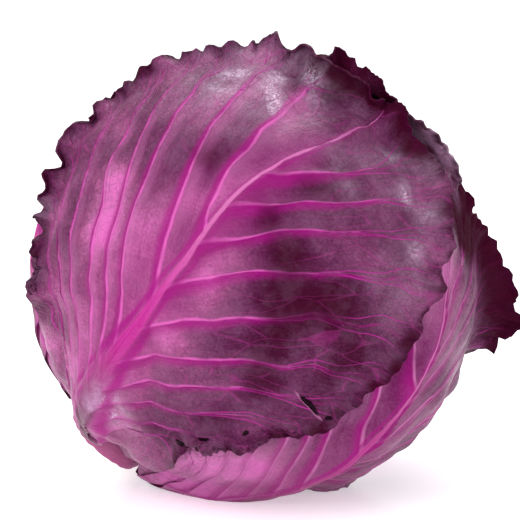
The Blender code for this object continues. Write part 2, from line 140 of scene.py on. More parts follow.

# A leaf's turn is its place in the spiral round the stalk, and size, lean and wave give its outline.
# A bow is where up the leaf its midrib swings aside most, over what half length and how far, in
# millimetres. A curl or a nip is its bearing, half angle, width of the strip and turn outwards. A
# calm stretch is its bearing, half angle and the share of the margin's waves and teeth it loses.
# Dark and waxy patches are x, y and radius on the leaf's plane, in millimetres, and strength, as are
# the places where veins are faint. Dark patches deepen the tone, partly the leaf's own dark colour and
# partly painted shade in the hollows of rolled margins and under a margin that lies over the leaf;
# patches of negative strength lighten it, and on the third leaf's foot they are painted light thrown
# up from the table. Waxy patches are the pale waxy coat, partly painted sheen and glints. A tear is
# x, y, length, half width and turn there. Stem is the width of the midrib's colour, relief the height
# of the side veins, tone the depth of colour, and right what is added to it on the right half.
LEAVES = (
    dict(name="wrapper_leaf_1", slot="outer_leaf", turn=0, size=0.965, lean=-0.08, wave=0.3,
         rows=432, columns=108, bow=(36, 34, -6.6), teeth=0.0013, crimp=0.50,
         stem=1.0, relief=1.0, tone=0.05, right=0.08, faint=(),
         curls=((-14, 22, 0.013, 150), (-98, 14, 0.010, 120), (20, 12, 0.008, 60)),
         calm=((-70, 50, 0.88), (-146, 22, 0.6)),
         nips=((-31, 2.0, 0.004, 110), (-40, 1.6, 0.004, 100), (-49, 3.0, 0.004, 130),
               (-57, 1.5, 0.004, 90), (-68, 3.5, 0.005, 130), (-77, 1.6, 0.004, 100),
               (-88, 2.5, 0.004, 90), (-103, 1.8, 0.006, 120), (-111, 2.4, 0.005, 120),
               (-119, 1.6, 0.006, 110), (-127, 2.2, 0.005, 120), (-134, 1.6, 0.005, 100),
               (-141, 4.5, 0.012, 95)),
         dark=((24, 11, 12, 1.1), (20, 27, 10, 1.1), (-7, -80, 8, 0.8), (32, -63, 9, 0.7),
               (38, -54, 7, 0.4), (36, 24, 12, 0.9), (45, 35, 9, 0.8), (5, 20, 5, 0.6),
               (42, 2, 12, 0.8), (60, 4, 12, 0.8), (54, 22, 11, 0.8), (46, -15, 9, 0.9),
               (28, -12, 8, 0.5), (4, 48, 8, 1.1), (14, 46, 9, 0.5), (5, 32, 8, 1.2),
               (10, 61, 12, 1.1), (-23, 31, 11, 1.5), (-16, 44, 8, 1.1), (72, 20, 12, 0.5),
               (-43, 22, 10, 0.6), (-33, 11, 7, 0.9), (-52, -14, 9, 0.4), (-84, -32, 6, 0.7),
               (-60, -47, 5, 0.7), (-24, 82, 10, 0.9), (74, 30, 9, 0.3), (-8, 74, 9, 0.5),
               (-62, 24, 8, 0.6), (-10, -22, 6, 0.3), (-46, 2, 7, -0.9), (-37, -14, 9, -1.3),
               (-20, 4, 8, -0.6), (8, 1, 6, -0.6), (14, -6, 6, -0.5), (10, -24, 6, -0.4),
               (44, -34, 10, 0.5), (28, -44, 9, 0.3), (-38, 92, 9, 1.2), (-22, 98, 9, 1.5),
               (-6, 100, 9, 1.5), (9, 99, 9, 1.2), (24, 94, 8, 0.8)),
         wax=((-53, 60, 19, 0.9), (-34, 85, 16, 0.8), (-26, 62, 11, 0.5), (10, 66, 14, 0.4),
              (17, 86, 6, 0.9), (29, 95, 6, 0.9), (33, 79, 7, 0.9), (46, 80, 6, 0.9),
              (52, 66, 6, 0.8), (60, 50, 12, 0.4), (-72, -37, 6, 0.8), (-52, -55, 6, 0.7),
              (8, -70, 8, 1.6), (4, -60, 6, 1.1), (2, -76, 6, 0.9))),
    dict(name="wrapper_leaf_2", slot="outer_leaf", turn=1, size=1.02, lean=0.0, wave=1.9,
         rows=368, columns=92, bow=(10, 45, 2.0), teeth=0.0015, crimp=0.8,
         stem=1.0, relief=0.9, tone=0.04, right=0.06, faint=(),
         curls=((25, 22, 0.009, 120), (-20, 15, 0.016, 32), (-80, 24, 0.016, 70),
                (120, 14, 0.012, 40)),
         calm=((-28, 27, 0.85), (9, 11, 0.5)),
         nips=((-60, 5, 0.005, 130), (70, 4, 0.005, 150)),
         dark=((30, 20, 18, 0.8), (-40, 30, 16, 0.7), (28, 88, 18, 1.4), (8, 102, 12, 1.2),
               (60, -20, 16, 0.5)),
         wax=((-34, 84, 26, 1.2), (-34, 108, 17, 1.3), (40, 60, 20, 0.4), (-55, -10, 14, 0.5),
              (5, -66, 7, 0.8))),
    dict(name="wrapper_leaf_3", slot="outer_leaf", turn=2, size=0.95, lean=-0.13, wave=3.1,
         rows=368, columns=92, bow=(10, 45, 0.0), teeth=0.0020, crimp=1.1,
         stem=0.55, relief=0.45, tone=0.08, right=0.0,
         faint=((-36, -74, 30, 0.9), (-20, -50, 14, 0.4)),
         curls=((56, 17.5, 0.022, 98),),
         calm=((105, 32, 0.85), (-150, 30, 0.7), (0, 20, 0.5)),
         nips=((-30, 4, 0.005, 120),),
         dark=((66, 60, 25, 2.2), (85, 30, 13, 1.4), (36, 84, 12, 2.0), (9, 79, 9, 2.2),
               (17, 71, 8, 1.8), (28, 72, 10, 1.8), (-3, 56, 8, -0.9), (-7, 24, 13, 0.9),
               (-12, 3, 13, 0.9), (-17, -19, 12, 0.9), (6, 0, 13, 0.4), (2, -22, 11, 0.7),
               (14, 20, 9, 0.4), (-34, 14, 14, 0.6), (-36, -14, 14, 0.6), (-24, -46, 10, -0.9),
               (-38, -66, 12, -1.2), (-16, -86, 14, -0.9), (-30, -56, 16, -0.5),
               (-6, 24, 9, 0.5)),
         wax=((30, 32, 10, 0.4),)),
    dict(name="wrapper_leaf_4", slot="inner_leaf", turn=3, size=0.97, lean=0.02, wave=4.4,
         rows=336, columns=80, bow=(20, 40, 2.0), teeth=0.0014, crimp=0.9,
         stem=1.3, relief=0.5, tone=-0.20, right=0.0, faint=(),
         curls=((-60, 24, 0.014, 75), (40, 16, 0.010, 60)),
         calm=(), nips=(),
         dark=((-40, 20, 16, 0.4),),
         wax=((20, 60, 20, 0.5), (-20, 80, 16, 0.5))),
    dict(name="wrapper_leaf_5", slot="inner_leaf", turn=4, size=1.03, lean=0.0, wave=5.2,
         rows=336, columns=80, bow=(20, 40, -1.5), teeth=0.0012, crimp=0.8,
         stem=1.3, relief=0.7, tone=-0.30, right=0.0, faint=(),
         curls=((70, 20, 0.010, 50),),
         calm=((0, 24, 0.9),), nips=(),
         dark=(),
         wax=((20, 70, 26, 0.6), (-40, 40, 20, 0.5))),
)
TEARS = ((64, -7, 12, 1.1, -14), (73, -7, 4, 0.7, 35), (39, -56, 4, 1.4, 20), (45, -45, 3, 1.5, 60),
         (54, -32, 3, 0.7, 80))
HEART_LEAVES = (
    dict(turn=5, size=0.98, lean=0.0, wave=0.0),
    dict(turn=6, size=0.93, lean=0.0, wave=1.0),
    dict(turn=7, size=0.88, lean=0.0, wave=2.0),
    dict(turn=8, size=0.83, lean=0.0, wave=3.0),
)
CROWN_LEAVES = (
    dict(turn=9, size=1.28, lean=0.0, wave=4.0),
    dict(turn=10, size=1.36, lean=0.0, wave=5.0),
    dict(turn=11, size=1.42, lean=0.0, wave=6.0),
    dict(turn=12, size=1.50, lean=0.0, wave=1.5),
)


def smooth(x, low, high):
    """0 below low, 1 above high, and an even S between them."""
    f = np.clip((x - low) / (high - low), 0.0, 1.0)
    return f * f * (3.0 - 2.0 * f)


def unevenness(places, length, seed, waves=16):
    """Smooth unevenness, about -1 to 1: a sum of sine waves of nearly one length, each running its
    own way through space and starting at its own point."""
    draw = np.random.default_rng(seed)
    ways = draw.normal(size=(waves, places.shape[-1]))
    ways /= np.linalg.norm(ways, axis=1, keepdims=True)
    beats = 2.0 * math.pi / length * draw.uniform(0.65, 1.45, waves)
    starts = draw.uniform(0.0, 2.0 * math.pi, waves)
    total = np.sin(places @ (ways * beats[:, None]).T + starts).sum(axis=-1)
    return total / math.sqrt(waves)


def head_axes():
    """The head's axis from stalk to crown, the side that faces the viewer, and the third axis."""
    rise, turn = math.radians(AXIS_RISE), math.radians(AXIS_TURN)
    axis = np.array([math.cos(rise) * math.cos(turn), math.cos(rise) * math.sin(turn), math.sin(rise)])
    front = np.array([math.sin(turn), -math.cos(turn), 0.0])
    return axis, front, np.cross(axis, front)


AXIS, FRONT, SIDE = head_axes()
CENTRE = np.array([0.0, 0.0, CENTRE_HEIGHT])
SWELL = np.array([0.72, -0.14, -0.68])


def leaf_axes(leaf):
    """Unit vectors at the middle of a leaf: outwards, to its right and up its midrib."""
    turn = math.radians(FIRST_LEAF + LEAF_STEP * leaf["turn"])
    away = math.cos(turn) * FRONT + math.sin(turn) * SIDE
    down = math.radians(LEAF_MIDDLE)
    middle = math.sin(down) * away - math.cos(down) * AXIS
    up = math.cos(down) * away + math.sin(down) * AXIS
    right = math.cos(turn) * SIDE - math.sin(turn) * FRONT
    return middle, right, up


def on_head(leaf, x, y):
    """Directions from the head's middle to points of the leaf's plane, laid on a ball: a point's
    distance on the plane becomes an arc, and its bearing stays."""
    middle, right, up = leaf_axes(leaf)
    flat = np.maximum(np.hypot(x, y), 1e-9)
    bend = flat / LEAF_SPHERE
    along = x[..., None] * right + y[..., None] * up
    return np.cos(bend)[..., None] * middle + (np.sin(bend) / flat)[..., None] * along


def in_leaf(leaf, directions):
    """The reverse of on_head: each direction's distance from the leaf's middle, and its bearing."""
    middle, right, up = leaf_axes(leaf)
    bend = np.arccos(np.clip(directions @ middle, -1.0, 1.0))
    bearing = np.degrees(np.arctan2(directions @ right, directions @ up))
    return bend * LEAF_SPHERE, bearing


def reach(leaf, bearing):
    """Distance from the leaf's middle to its margin, easing from one outline point to the next."""
    side = np.abs(bearing)
    last = len(OUTLINE_BEARINGS) - 2
    step = np.clip(np.searchsorted(OUTLINE_BEARINGS, side, side="right") - 1, 0, last)
    share = smooth(side, np.take(OUTLINE_BEARINGS, step), np.take(OUTLINE_BEARINGS, step + 1))
    even = (1.0 - share) * np.take(OUTLINE_REACH, step) + share * np.take(OUTLINE_REACH, step + 1)
    free = 1.0 - smooth(side, *NARROW_BASE)
    lobes = LOBE_DEPTH * np.sin(np.radians(bearing * LOBES) + leaf["wave"])
    lean = leaf["lean"] * np.sin(np.radians(bearing))
    return even * (1.0 + free * (leaf["size"] - 1.0 + lobes + lean))


def covered(leaf, directions, start, end):
    """1 where the leaf covers a direction and for start beyond its margin, easing to 0 at end."""
    distance, bearing = in_leaf(leaf, directions)
    return 1.0 - smooth(distance - reach(leaf, bearing), start, end)


def midrib(x, y):
    """Height of the midrib: a rounded ridge that narrows and sinks from the stalk to its fork."""
    up = np.clip((y + MIDRIB_ROOT) / (MIDRIB_FORK + MIDRIB_ROOT), 0.0, 1.0)
    half = MIDRIB_HALF * (1.0 - up) ** MIDRIB_NARROWS + MIDRIB_TIP_HALF
    height = MIDRIB_BASE * (1.0 - up) ** MIDRIB_SINKS
    return height * np.exp(-MIDRIB_ROUND * (x / half) ** 2)


def exposed(index, directions):
    """1 where no leaf outside this one covers it, 0 where one does."""
    free = np.ones(directions.shape[:-1])
    for outer in LEAVES[:index]:
        free = free * (1.0 - covered(outer, directions, FIRST_RISE, FULL_RISE))
    return free


def heart_surface(directions):
    """Radius of the firm inner head: a slightly uneven ball, with its packed leaves' steps."""
    from_stalk = np.degrees(np.arccos(np.clip(-(directions @ AXIS), -1.0, 1.0)))
    from_swell = np.degrees(np.arccos(np.clip(directions @ SWELL, -1.0, 1.0)))
    longer = HEART_BASE_RISE * np.exp(-((from_stalk / HEART_BASE_ANGLE) ** 2))
    fuller = HEART_SWELL * np.exp(-((from_swell / HEART_SWELL_ANGLE) ** 2))
    radius = HEART_RADIUS * (1.0 + longer + fuller)
    for leaf in HEART_LEAVES:
        radius = radius + HEART_STEP * covered(leaf, directions, 0.0, DRAPE)
    return radius


def layers_under(index, directions):
    """Height of the inner leaves, with their midribs and the air between, below leaf index."""
    height = np.zeros(directions.shape[:-1])
    for inner in LEAVES[index + 1:]:
        distance, bearing = in_leaf(inner, directions)
        x = distance * np.sin(np.radians(bearing))
        y = distance * np.cos(np.radians(bearing))
        rib = RIB_ROOM * PRESSED_RIB * midrib(RIB_BRIDGE * x, y)
        height = height + (BLADE + LEAF_GAP + rib) * covered(inner, directions, SNUG, DRAPE)
    return height


def layers_over(index, directions):
    """Thickness of the leaves that lie outside leaf index, where they cover it."""
    height = np.zeros(directions.shape[:-1])
    for outer in LEAVES[:index]:
        height = height + (BLADE + LEAF_GAP) * covered(outer, directions, SNUG, DRAPE)
    return height


def vein_grid(leaf, along, across):
    """Point of the leaf's plane. Along runs -1 to 1 from one base corner round the tip to the other.

    Across runs 0 to 1 from the midrib to the margin, on a curve of three points that leaves the
    midrib forwards and bends outwards, as a side vein does. Left and right halves bend differently
    and ease into one bend at the base.
    """
    share = np.abs(along) ** VEIN_SPREAD
    bearing = np.sign(along) * BASE_BEARING * share
    root = (MIDRIB_FORK + MIDRIB_ROOT) * (1.0 - share) ** VEIN_CROWDING - MIDRIB_ROOT
    edge = reach(leaf, bearing)
    edge_x, edge_y = edge * np.sin(np.radians(bearing)), edge * np.cos(np.radians(bearing))
    low = smooth(np.abs(along), 0.72, 0.95)
    out, up, rise = (low * base + (1.0 - low) * np.where(along < 0.0, left, right)
                     for base, left, right in zip(BASE_BEND, LEFT_BEND, RIGHT_BEND))
    bend_x = out * edge_x
    bend_y = root + up * (edge_y - root) + rise * np.abs(edge_x)
    a, b, c = (1.0 - across) ** 2, 2.0 * across * (1.0 - across), across**2
    return b * bend_x + c * edge_x, a * root + b * bend_y + c * edge_y


def bowed(leaf, y, across):
    """How far the blade beside the midrib swings aside: a bell along the leaf that dies out with the
    third power of the share left to the margin."""
    at, half, swing = leaf["bow"]
    return 0.001 * swing * np.exp(-(((y * 1000.0 - at) / half) ** 2)) * (1.0 - across) ** 3


def liveliness(leaf, bearing):
    """Share of the margin's waves and teeth that is left, 1 away from its calm stretches."""
    left = np.ones(bearing.shape)
    for at, half, lost in leaf["calm"]:
        left = left - lost * np.exp(-(((bearing - at) / half) ** 4))
    return np.maximum(left, 0.1)


def teeth(leaf, bearing):
    """How far the ragged margin stands past its even line: broad lobes, and short waves whose tops
    are made pointed by taking a fixed height less their absolute value."""
    arc = np.radians(bearing)[..., None] * LEAF_SPHERE
    seed = 10 + leaf["turn"]
    broad, middling, small = TOOTH_LENGTHS
    lobes = 0.55 * unevenness(arc, broad, seed, 6)
    valleys = np.abs(unevenness(arc, middling, seed + 25, 7))
    jag = 0.6 - valleys - 0.5 * np.abs(unevenness(arc, small, seed + 50, 7))
    lively = 0.45 + 0.55 * liveliness(leaf, bearing)
    return leaf["teeth"] * lively * (lobes + jag) * smooth(np.abs(bearing), 162.0, 146.0)


def curl(leaf, bearing, from_margin, free, jag):
    """How far a strip along the margin moves in and up when it is rolled outwards on an arc."""
    turn = np.ones(bearing.shape)
    strip = np.full(bearing.shape, EVEN_STRIP)
    for at, half, width, angle in leaf["curls"]:
        weight = np.exp(-(((bearing - at) / half) ** 4))
        turn = turn + weight * angle
        strip = strip + weight * (width - EVEN_STRIP)
    for at, half, width, angle in leaf["nips"]:
        weight = np.exp(-(((bearing - at) / half) ** 2))
        turn = turn + weight * angle
        strip = strip + weight * (width - EVEN_STRIP)
    strip = np.maximum(strip, NARROWEST_ROLL)
    past = np.maximum(strip - from_margin, 0.0)
    past = past + jag * (past / strip) ** 2
    bend = np.maximum(np.radians(turn) * free, 1e-4) / strip
    drawn = np.sin(bend * past) / bend - np.maximum(strip - from_margin, 0.0)
    return drawn, (1.0 - np.cos(bend * past)) / bend


def frill(leaf, bearing, from_margin):
    """Height of the waves along a free margin; they die out inwards and at the leaf's base."""
    near = np.clip(1.0 - from_margin / FRILL_DEPTH, 0.0, 1.0) ** 2
    beat = np.radians(bearing) * LEAF_SPHERE * 2.0 * math.pi / FRILL_LENGTH
    uneven = UNEVEN_SHARE * np.sin(UNEVEN_BEAT * beat + leaf["wave"])
    wave = 0.5 + 0.5 * np.sin(beat + uneven)
    lively = liveliness(leaf, bearing)
    height = MARGIN_LIFT + FRILL * wave * lively
    return near * height * (0.4 + 0.6 * lively) * smooth(np.abs(bearing), *FRILL_BASE)


def crimp(leaf, bearing, from_margin):
    """The small folds of a margin: two trains of short waves, the shorter one nearer the edge."""
    arc = np.radians(bearing)[..., None] * LEAF_SPHERE
    seed = 30 + leaf["turn"]
    wide = np.clip(1.0 - from_margin / CRIMP_STRIPS[0], 0.0, 1.0) ** 1.6
    close = np.clip(1.0 - from_margin / CRIMP_STRIPS[1], 0.0, 1.0) ** 1.4
    slanted = np.concatenate([arc, 0.5 * from_margin[..., None]], -1)
    first = CRIMP_HEIGHTS[0] * wide * unevenness(arc, CRIMP_LENGTHS[0], seed, 7)
    second = CRIMP_HEIGHTS[1] * close * unevenness(slanted, CRIMP_LENGTHS[1], seed + 40, 9)
    lively = 0.35 + 0.65 * liveliness(leaf, bearing)
    return leaf["crimp"] * lively * (first + second) * smooth(np.abs(bearing), *FRILL_BASE)


def leaf_numbers(rows, columns):
    """Numbers of a leaf sheet's points. In the first column, the midrib, both halves share theirs."""
    half = rows // 2
    seam = half - np.abs(np.arange(rows + 1) - half)
    blade = half + 1 + np.arange((rows + 1) * columns).reshape(rows + 1, columns)
    return np.hstack([seam[:, None], blade])


def merged(grid):
    """Values of a grid in the order of leaf_numbers."""
    half = grid.shape[0] // 2
    tail = grid.shape[2:]
    return np.concatenate([grid[:half + 1, 0].reshape(-1, *tail), grid[:, 1:].reshape(-1, *tail)])


def squares(numbers):
    """Four-sided faces between the neighbouring points of a grid."""
    corners = [numbers[:-1, :-1], numbers[1:, :-1], numbers[1:, 1:], numbers[:-1, 1:]]
    return np.stack(corners, -1).reshape(-1, 4)


def rim(numbers):
    """Numbers round a leaf: along its margin, down one base edge to the midrib and up the other."""
    return np.concatenate([numbers[:, -1], numbers[-1, -2:0:-1], numbers[-1, :1], numbers[0, 1:-1]])


def normals(points, faces):
    """Unit normals of points: the sum of the neighbouring faces' own, by their area."""
    a, b, c, d = (points[faces[:, k]] for k in range(4))
    face = np.cross(c - a, d - b)
    total = np.zeros_like(points)
    for k in range(4):
        for axis in range(3):
            total[:, axis] += np.bincount(faces[:, k], face[:, axis], len(points))
    return total / np.maximum(np.linalg.norm(total, axis=1, keepdims=True), 1e-12)


def stand_off(points, faces, beside, facing):
    """Directions in which a leaf gets thicker: its own normals, easing beside the midrib, where its
    squares are narrow, into straight outwards from the head's middle."""
    straight = points - CENTRE
    straight /= np.linalg.norm(straight, axis=1, keepdims=True)
    blend = beside[:, None] * facing * normals(points, faces) + (1.0 - beside[:, None]) * straight
    return blend / np.maximum(np.linalg.norm(blend, axis=1, keepdims=True), 1e-12)


def patches(spots, x, y):
    """Sum of soft round patches."""
    total = np.zeros(x.shape)
    for at_x, at_y, radius, strength in spots:
        gone = np.hypot(x * 1000.0 - at_x, y * 1000.0 - at_y) / radius
        total = total + strength * np.exp(-gone**2)
    return total


def torn(tears, x, y):
    """1 inside a tear and 0 beyond its lips: each is a narrow ellipse with a wavering edge."""
    deepest = np.zeros(x.shape)
    for at_x, at_y, length, width, turn in tears:
        c, s = math.cos(math.radians(turn)), math.sin(math.radians(turn))
        px, py = x * 1000.0 - at_x, y * 1000.0 - at_y
        waver = 0.25 * np.sin(px * 2.1) + 0.25 * np.sin(py * 1.7)
        gone = np.hypot((c * px + s * py) / (length * 0.5), (c * py - s * px) / width + waver)
        deepest = np.maximum(deepest, 1.0 - smooth(gone, 0.75, 1.15))
    return deepest


def steady(x, places, values):
    """A curve through rising points, without a kink: each piece is a cubic, whose slope at a point
    is the harmonic mean of the straight slopes on both sides."""
    places, values = np.asarray(places), np.asarray(values)
    width = np.diff(places)
    straight = np.diff(values) / width
    before, beyond = straight[:-1], straight[1:]
    between = 2.0 * before * beyond / (before + beyond)
    slope = np.concatenate([straight[:1], between, straight[-1:]])
    k = np.clip(np.searchsorted(places, x, side="right") - 1, 0, len(width) - 1)
    t = np.clip((x - places[k]) / width[k], 0.0, 1.0)
    even = (1.0 + 2.0 * t) * (1.0 - t) ** 2 * values[k] + t * t * (3.0 - 2.0 * t) * values[k + 1]
    return even + width[k] * (t * (1.0 - t) ** 2 * slope[k] - t * t * (1.0 - t) * slope[k + 1])


def vein_field(leaf, along, across, x, y):
    """Count of side veins from the tip, negative on the left, and metres from one to the next.

    The count reads off where veins leave the midrib, steady between neighbours. The spacing is the
    reverse of the steepness of the count over the leaf's plane.
    """
    place = np.stack([x, y], -1)
    shear = np.where(along < 0.0, LEFT_SHEAR, 0.0) * smooth(np.abs(along), 0.0, 0.3)
    sheared = np.abs(along) + shear * across
    right = steady(sheared, RIGHT_VEINS, [0.0] + [k + 0.5 for k in range(len(RIGHT_VEINS) - 1)])
    left = steady(sheared, LEFT_VEINS + (1.2,), [0.0] + [k + 0.5 for k in range(len(LEFT_VEINS))])
    count = np.where(along < 0.0, -left, right)
    slow = 0.03 if leaf["turn"] == 0 else 0.06
    wander = slow * unevenness(place, WANDER_LENGTHS[0], 70 + leaf["turn"])
    wander = wander + 0.045 * unevenness(place, WANDER_LENGTHS[1], 60 + leaf["turn"])
    count = count + wander * smooth(np.abs(along), 0.15, 0.50)
    rows = np.broadcast_to(along, x.shape)[:, 0]
    shares = np.broadcast_to(across, x.shape)[0]
    (dx_a, dx_c), (dy_a, dy_c), (dn_a, dn_c) = (np.gradient(v, rows, shares) for v in (x, y, count))
    area = dx_a * dy_c - dx_c * dy_a
    area = np.where(np.abs(area) < 1e-9, 1e-9, area)
    steep = np.hypot((dn_a * dy_c - dn_c * dy_a) / area, (dn_c * dx_a - dn_a * dx_c) / area)
    return count, np.clip(1.0 / np.maximum(steep, 1e-3), 0.0005, 0.05)


def leaf_shape(index):
    """Both faces of a wrapper leaf, and what its finish reads at each point.

    The inner face is the leaf's plane, its midrib bowed aside, laid on the head and rolled, frilled
    and crimped along its margin. The outer face stands off from it by the thickness, which carries
    the ribs and loses the tears. No point lies below the table top.
    """
    leaf = LEAVES[index]
    rows, columns = leaf["rows"], leaf["columns"]
    along = np.linspace(-1.0, 1.0, rows + 1)[:, None]
    along = along * (1.4 - 0.4 * np.abs(along))
    across = 0.5 - 0.5 * np.cos(math.pi * np.linspace(0.0, 1.0, columns + 1) ** 0.92)[None, :]
    from_rib, y = vein_grid(leaf, along, across)
    x = from_rib + bowed(leaf, y, across)
    distance = np.hypot(x, y)
    bearing = np.degrees(np.arctan2(x, y))
    from_margin = np.maximum(reach(leaf, bearing) - distance, 0.0)
    free = exposed(index, on_head(leaf, x, y))
    place = np.stack([x, y], -1)

    drawn_in, rolled_up = curl(leaf, bearing, from_margin, free, teeth(leaf, bearing) * free)
    scale = (distance + drawn_in) / np.maximum(distance, 1e-9)
    directions = on_head(leaf, x * scale, y * scale)
    count, spacing = vein_field(leaf, along, across, x, y)
    off = np.abs(count - 0.5 - np.round(count - 0.5))
    panel = smooth(across, 0.03, 0.20) * (1.0 - smooth(across, 0.80, 1.0))
    blister = 0.75 + 0.35 * unevenness(place, PUFF_LENGTH, 90 + leaf["turn"])
    puff = PUFF * np.sin(np.pi * off) ** 2 * panel * blister
    radius = heart_surface(directions) + LEAF_GAP + layers_under(index, directions)
    radius = radius + rolled_up + free * (puff + frill(leaf, bearing, from_margin))
    inner = merged(CENTRE + directions * radius[..., None])

    numbers = leaf_numbers(rows, columns)
    faces = squares(numbers)
    facing = np.sign(np.sum(normals(inner, faces) * (inner - CENTRE)))
    beside = smooth(across, 0.02, 0.12) * smooth(np.abs(along), 0.0, 0.10)
    beside = merged(np.broadcast_to(beside, x.shape))
    sway = SWAY * unevenness(place, SWAY_LENGTH, 110 + leaf["turn"]) * free
    wrinkle = crimp(leaf, bearing, from_margin) * free
    inner = inner + stand_off(inner, faces, beside, facing) * merged(sway + wrinkle)[:, None]

    draw = np.random.default_rng(200 + leaf["turn"])
    starts = draw.uniform(*BRANCH_START, (2, 28))
    nearest = np.clip(np.round(count - 0.5).astype(int) + 13, 0, 27)
    side = (count - 0.5 - np.round(count - 0.5) > 0.0).astype(int)
    start = starts[side, nearest]
    swing = BRANCH_SWING * smooth(across, start, 1.25)
    lateral_half = LATERAL_WIDE * (1.0 - np.broadcast_to(across, x.shape)) ** 1.2 + LATERAL_FINE
    lateral = np.exp(-((off * spacing / lateral_half) ** 2))
    branch = np.exp(-(((off - swing) * spacing / BRANCH_HALF) ** 2)) * (across > start)
    rise = smooth(across, 0.0, 0.06) * smooth(np.abs(along), 0.08, 0.20)
    faint = np.clip(patches(leaf["faint"], x, y), 0.0, 1.0)
    rise = rise * (1.0 - 0.65 * smooth(np.abs(along), 0.72, 0.95))
    rise = rise * leaf["relief"] * (1.0 - 0.8 * faint)
    thick = MARGIN_BLADE + (BLADE - MARGIN_BLADE) * smooth(from_margin, 0.0, MARGIN_TAPER)
    thick = thick + (PRESSED_RIB + (1.0 - PRESSED_RIB) * free) * midrib(from_rib, y)
    thick = thick + free * rise * LATERAL_HEIGHT * lateral * (1.0 - across) ** 0.8
    thick = thick + free * BRANCH_HEIGHT * branch * smooth(from_margin, 0.0, 0.010)
    hole = torn(TEARS if index == 0 else (), x, y)
    thick = thick + TEAR_LIP * hole * (1.0 - hole) * 4.0 - TEAR_DEPTH * hole
    thick = np.maximum(thick, TEAR_FLOOR)

    outer = inner + stand_off(inner, faces, beside, facing) * merged(thick)[:, None]
    floor = merged(layers_over(index, directions))
    outer[:, 2] = np.maximum(outer[:, 2], floor)
    inner[:, 2] = np.maximum(inner[:, 2], floor + MARGIN_BLADE)

    up = np.clip((y + MIDRIB_ROOT) / (MIDRIB_FORK + MIDRIB_ROOT), 0.0, 1.0)
    least, at_base, below_tip = RIB_COLOUR
    rib = least + at_base * (1.0 - up) ** 1.6 + below_tip * (1.0 - smooth(y, 0.055, 0.110))
    rib = rib * leaf["stem"]
    mottle = unevenness(place, MOTTLE_LENGTH, 130 + leaf["turn"])
    tone = 0.26 + leaf["tone"] + 0.12 * smooth(across, 0.08, 0.60)
    tone = tone + leaf["right"] * smooth(x, 0.0, 0.030)
    ragged = np.clip(0.6 + 0.6 * unevenness(place, RAGGED_LENGTH, 170 + leaf["turn"]), 0.1, 1.2)
    ragged = ragged * smooth(np.abs(bearing), 158.0, 140.0)
    tone = tone + 0.40 * ragged * (1.0 - smooth(from_margin, 0.0, DARK_MARGIN)) + 0.08 * mottle
    # Dark patches deepen the tone, partly painted shade; towards the leaf's foot it is lighter, painted
    # light thrown up from the table under the head
    tone = tone + 0.34 * patches(leaf["dark"], x, y) - 0.22 * smooth(-y, 0.040, 0.090)
    # Unevenness of the waxy patches, which are pale waxy coat and painted sheen
    powder_and_sheen = 0.75 + 0.35 * unevenness(place, WAX_AND_SHEEN_LENGTH, 150 + leaf["turn"])
    wax = patches(leaf["wax"], x, y) * powder_and_sheen
    edge = from_margin + 0.004 * smooth(np.abs(bearing), 140.0, 156.0)
    read = dict(spacing=spacing, start=start, rib=rib, edge=edge, tone=tone,
                wax=np.clip(wax, 0.0, 1.5), up=up, side=np.sign(from_rib + 1e-12), faint=faint)
    read = {name: merged(np.broadcast_to(value, x.shape)) for name, value in read.items()}
    flat = np.stack([from_rib, y, np.full(x.shape, 0.31 * leaf["turn"])], -1)
    veins = np.stack([np.broadcast_to(count, x.shape), np.broadcast_to(across, x.shape)], -1)
    return outer, inner, numbers, facing, read, merged(flat), veins


def mesh_from(name, points, faces, corners=None):
    """A smooth mesh; faces is a list of arrays, one for each number of sides, and corners holds
    the veins' map, one pair for each corner."""
    sizes = np.concatenate([np.full(len(part), part.shape[1]) for part in faces])
    mesh = bpy.data.meshes.new(name)
    mesh.vertices.add(len(points))
    mesh.vertices.foreach_set("co", points.astype(np.float32).ravel())
    mesh.loops.add(int(sizes.sum()))
    around = np.concatenate([part.ravel() for part in faces])
    mesh.loops.foreach_set("vertex_index", around.astype(np.int32))
    mesh.polygons.add(len(sizes))
    mesh.polygons.foreach_set("loop_start", (np.cumsum(sizes) - sizes).astype(np.int32))
    mesh.update(calc_edges=True)
    if corners is not None:
        veins = mesh.uv_layers.new(name="veins")
        veins.data.foreach_set("uv", corners.astype(np.float32).ravel())
    mesh.shade_smooth()
    return mesh


def capped_rings(rows, columns):
    """Faces of closed rings of points between two single end points, which come last."""
    ring = np.arange(rows * columns).reshape(rows, columns)
    after = np.roll(ring, -1, axis=1)
    sides = np.stack([ring[:-1], ring[1:], after[1:], after[:-1]], -1).reshape(-1, 4)
    first = np.full(columns, rows * columns)
    ends = np.concatenate([np.stack([first, ring[0], after[0]], -1),
                           np.stack([first + 1, after[-1], ring[-1]], -1)])
    return [sides, ends]


def add_readings(mesh, read, flat):
    """Attributes for the finish: one number each, and the place on the leaf's own plane."""
    for name, values in read.items():
        reading = mesh.attributes.new(name, "FLOAT", "POINT")
        reading.data.foreach_set("value", values.astype(np.float32))
    place = mesh.attributes.new("plane", "FLOAT_VECTOR", "POINT")
    place.data.foreach_set("vector", flat.astype(np.float32).ravel())


def add_piece(name, mesh, material, node):
    """A finished piece, in the place of its solid."""
    piece = bpy.data.objects.new(name, mesh)
    mesh.materials.append(material)
    bpy.context.scene.collection.objects.link(piece)
    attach(piece, "root")
    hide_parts(node)


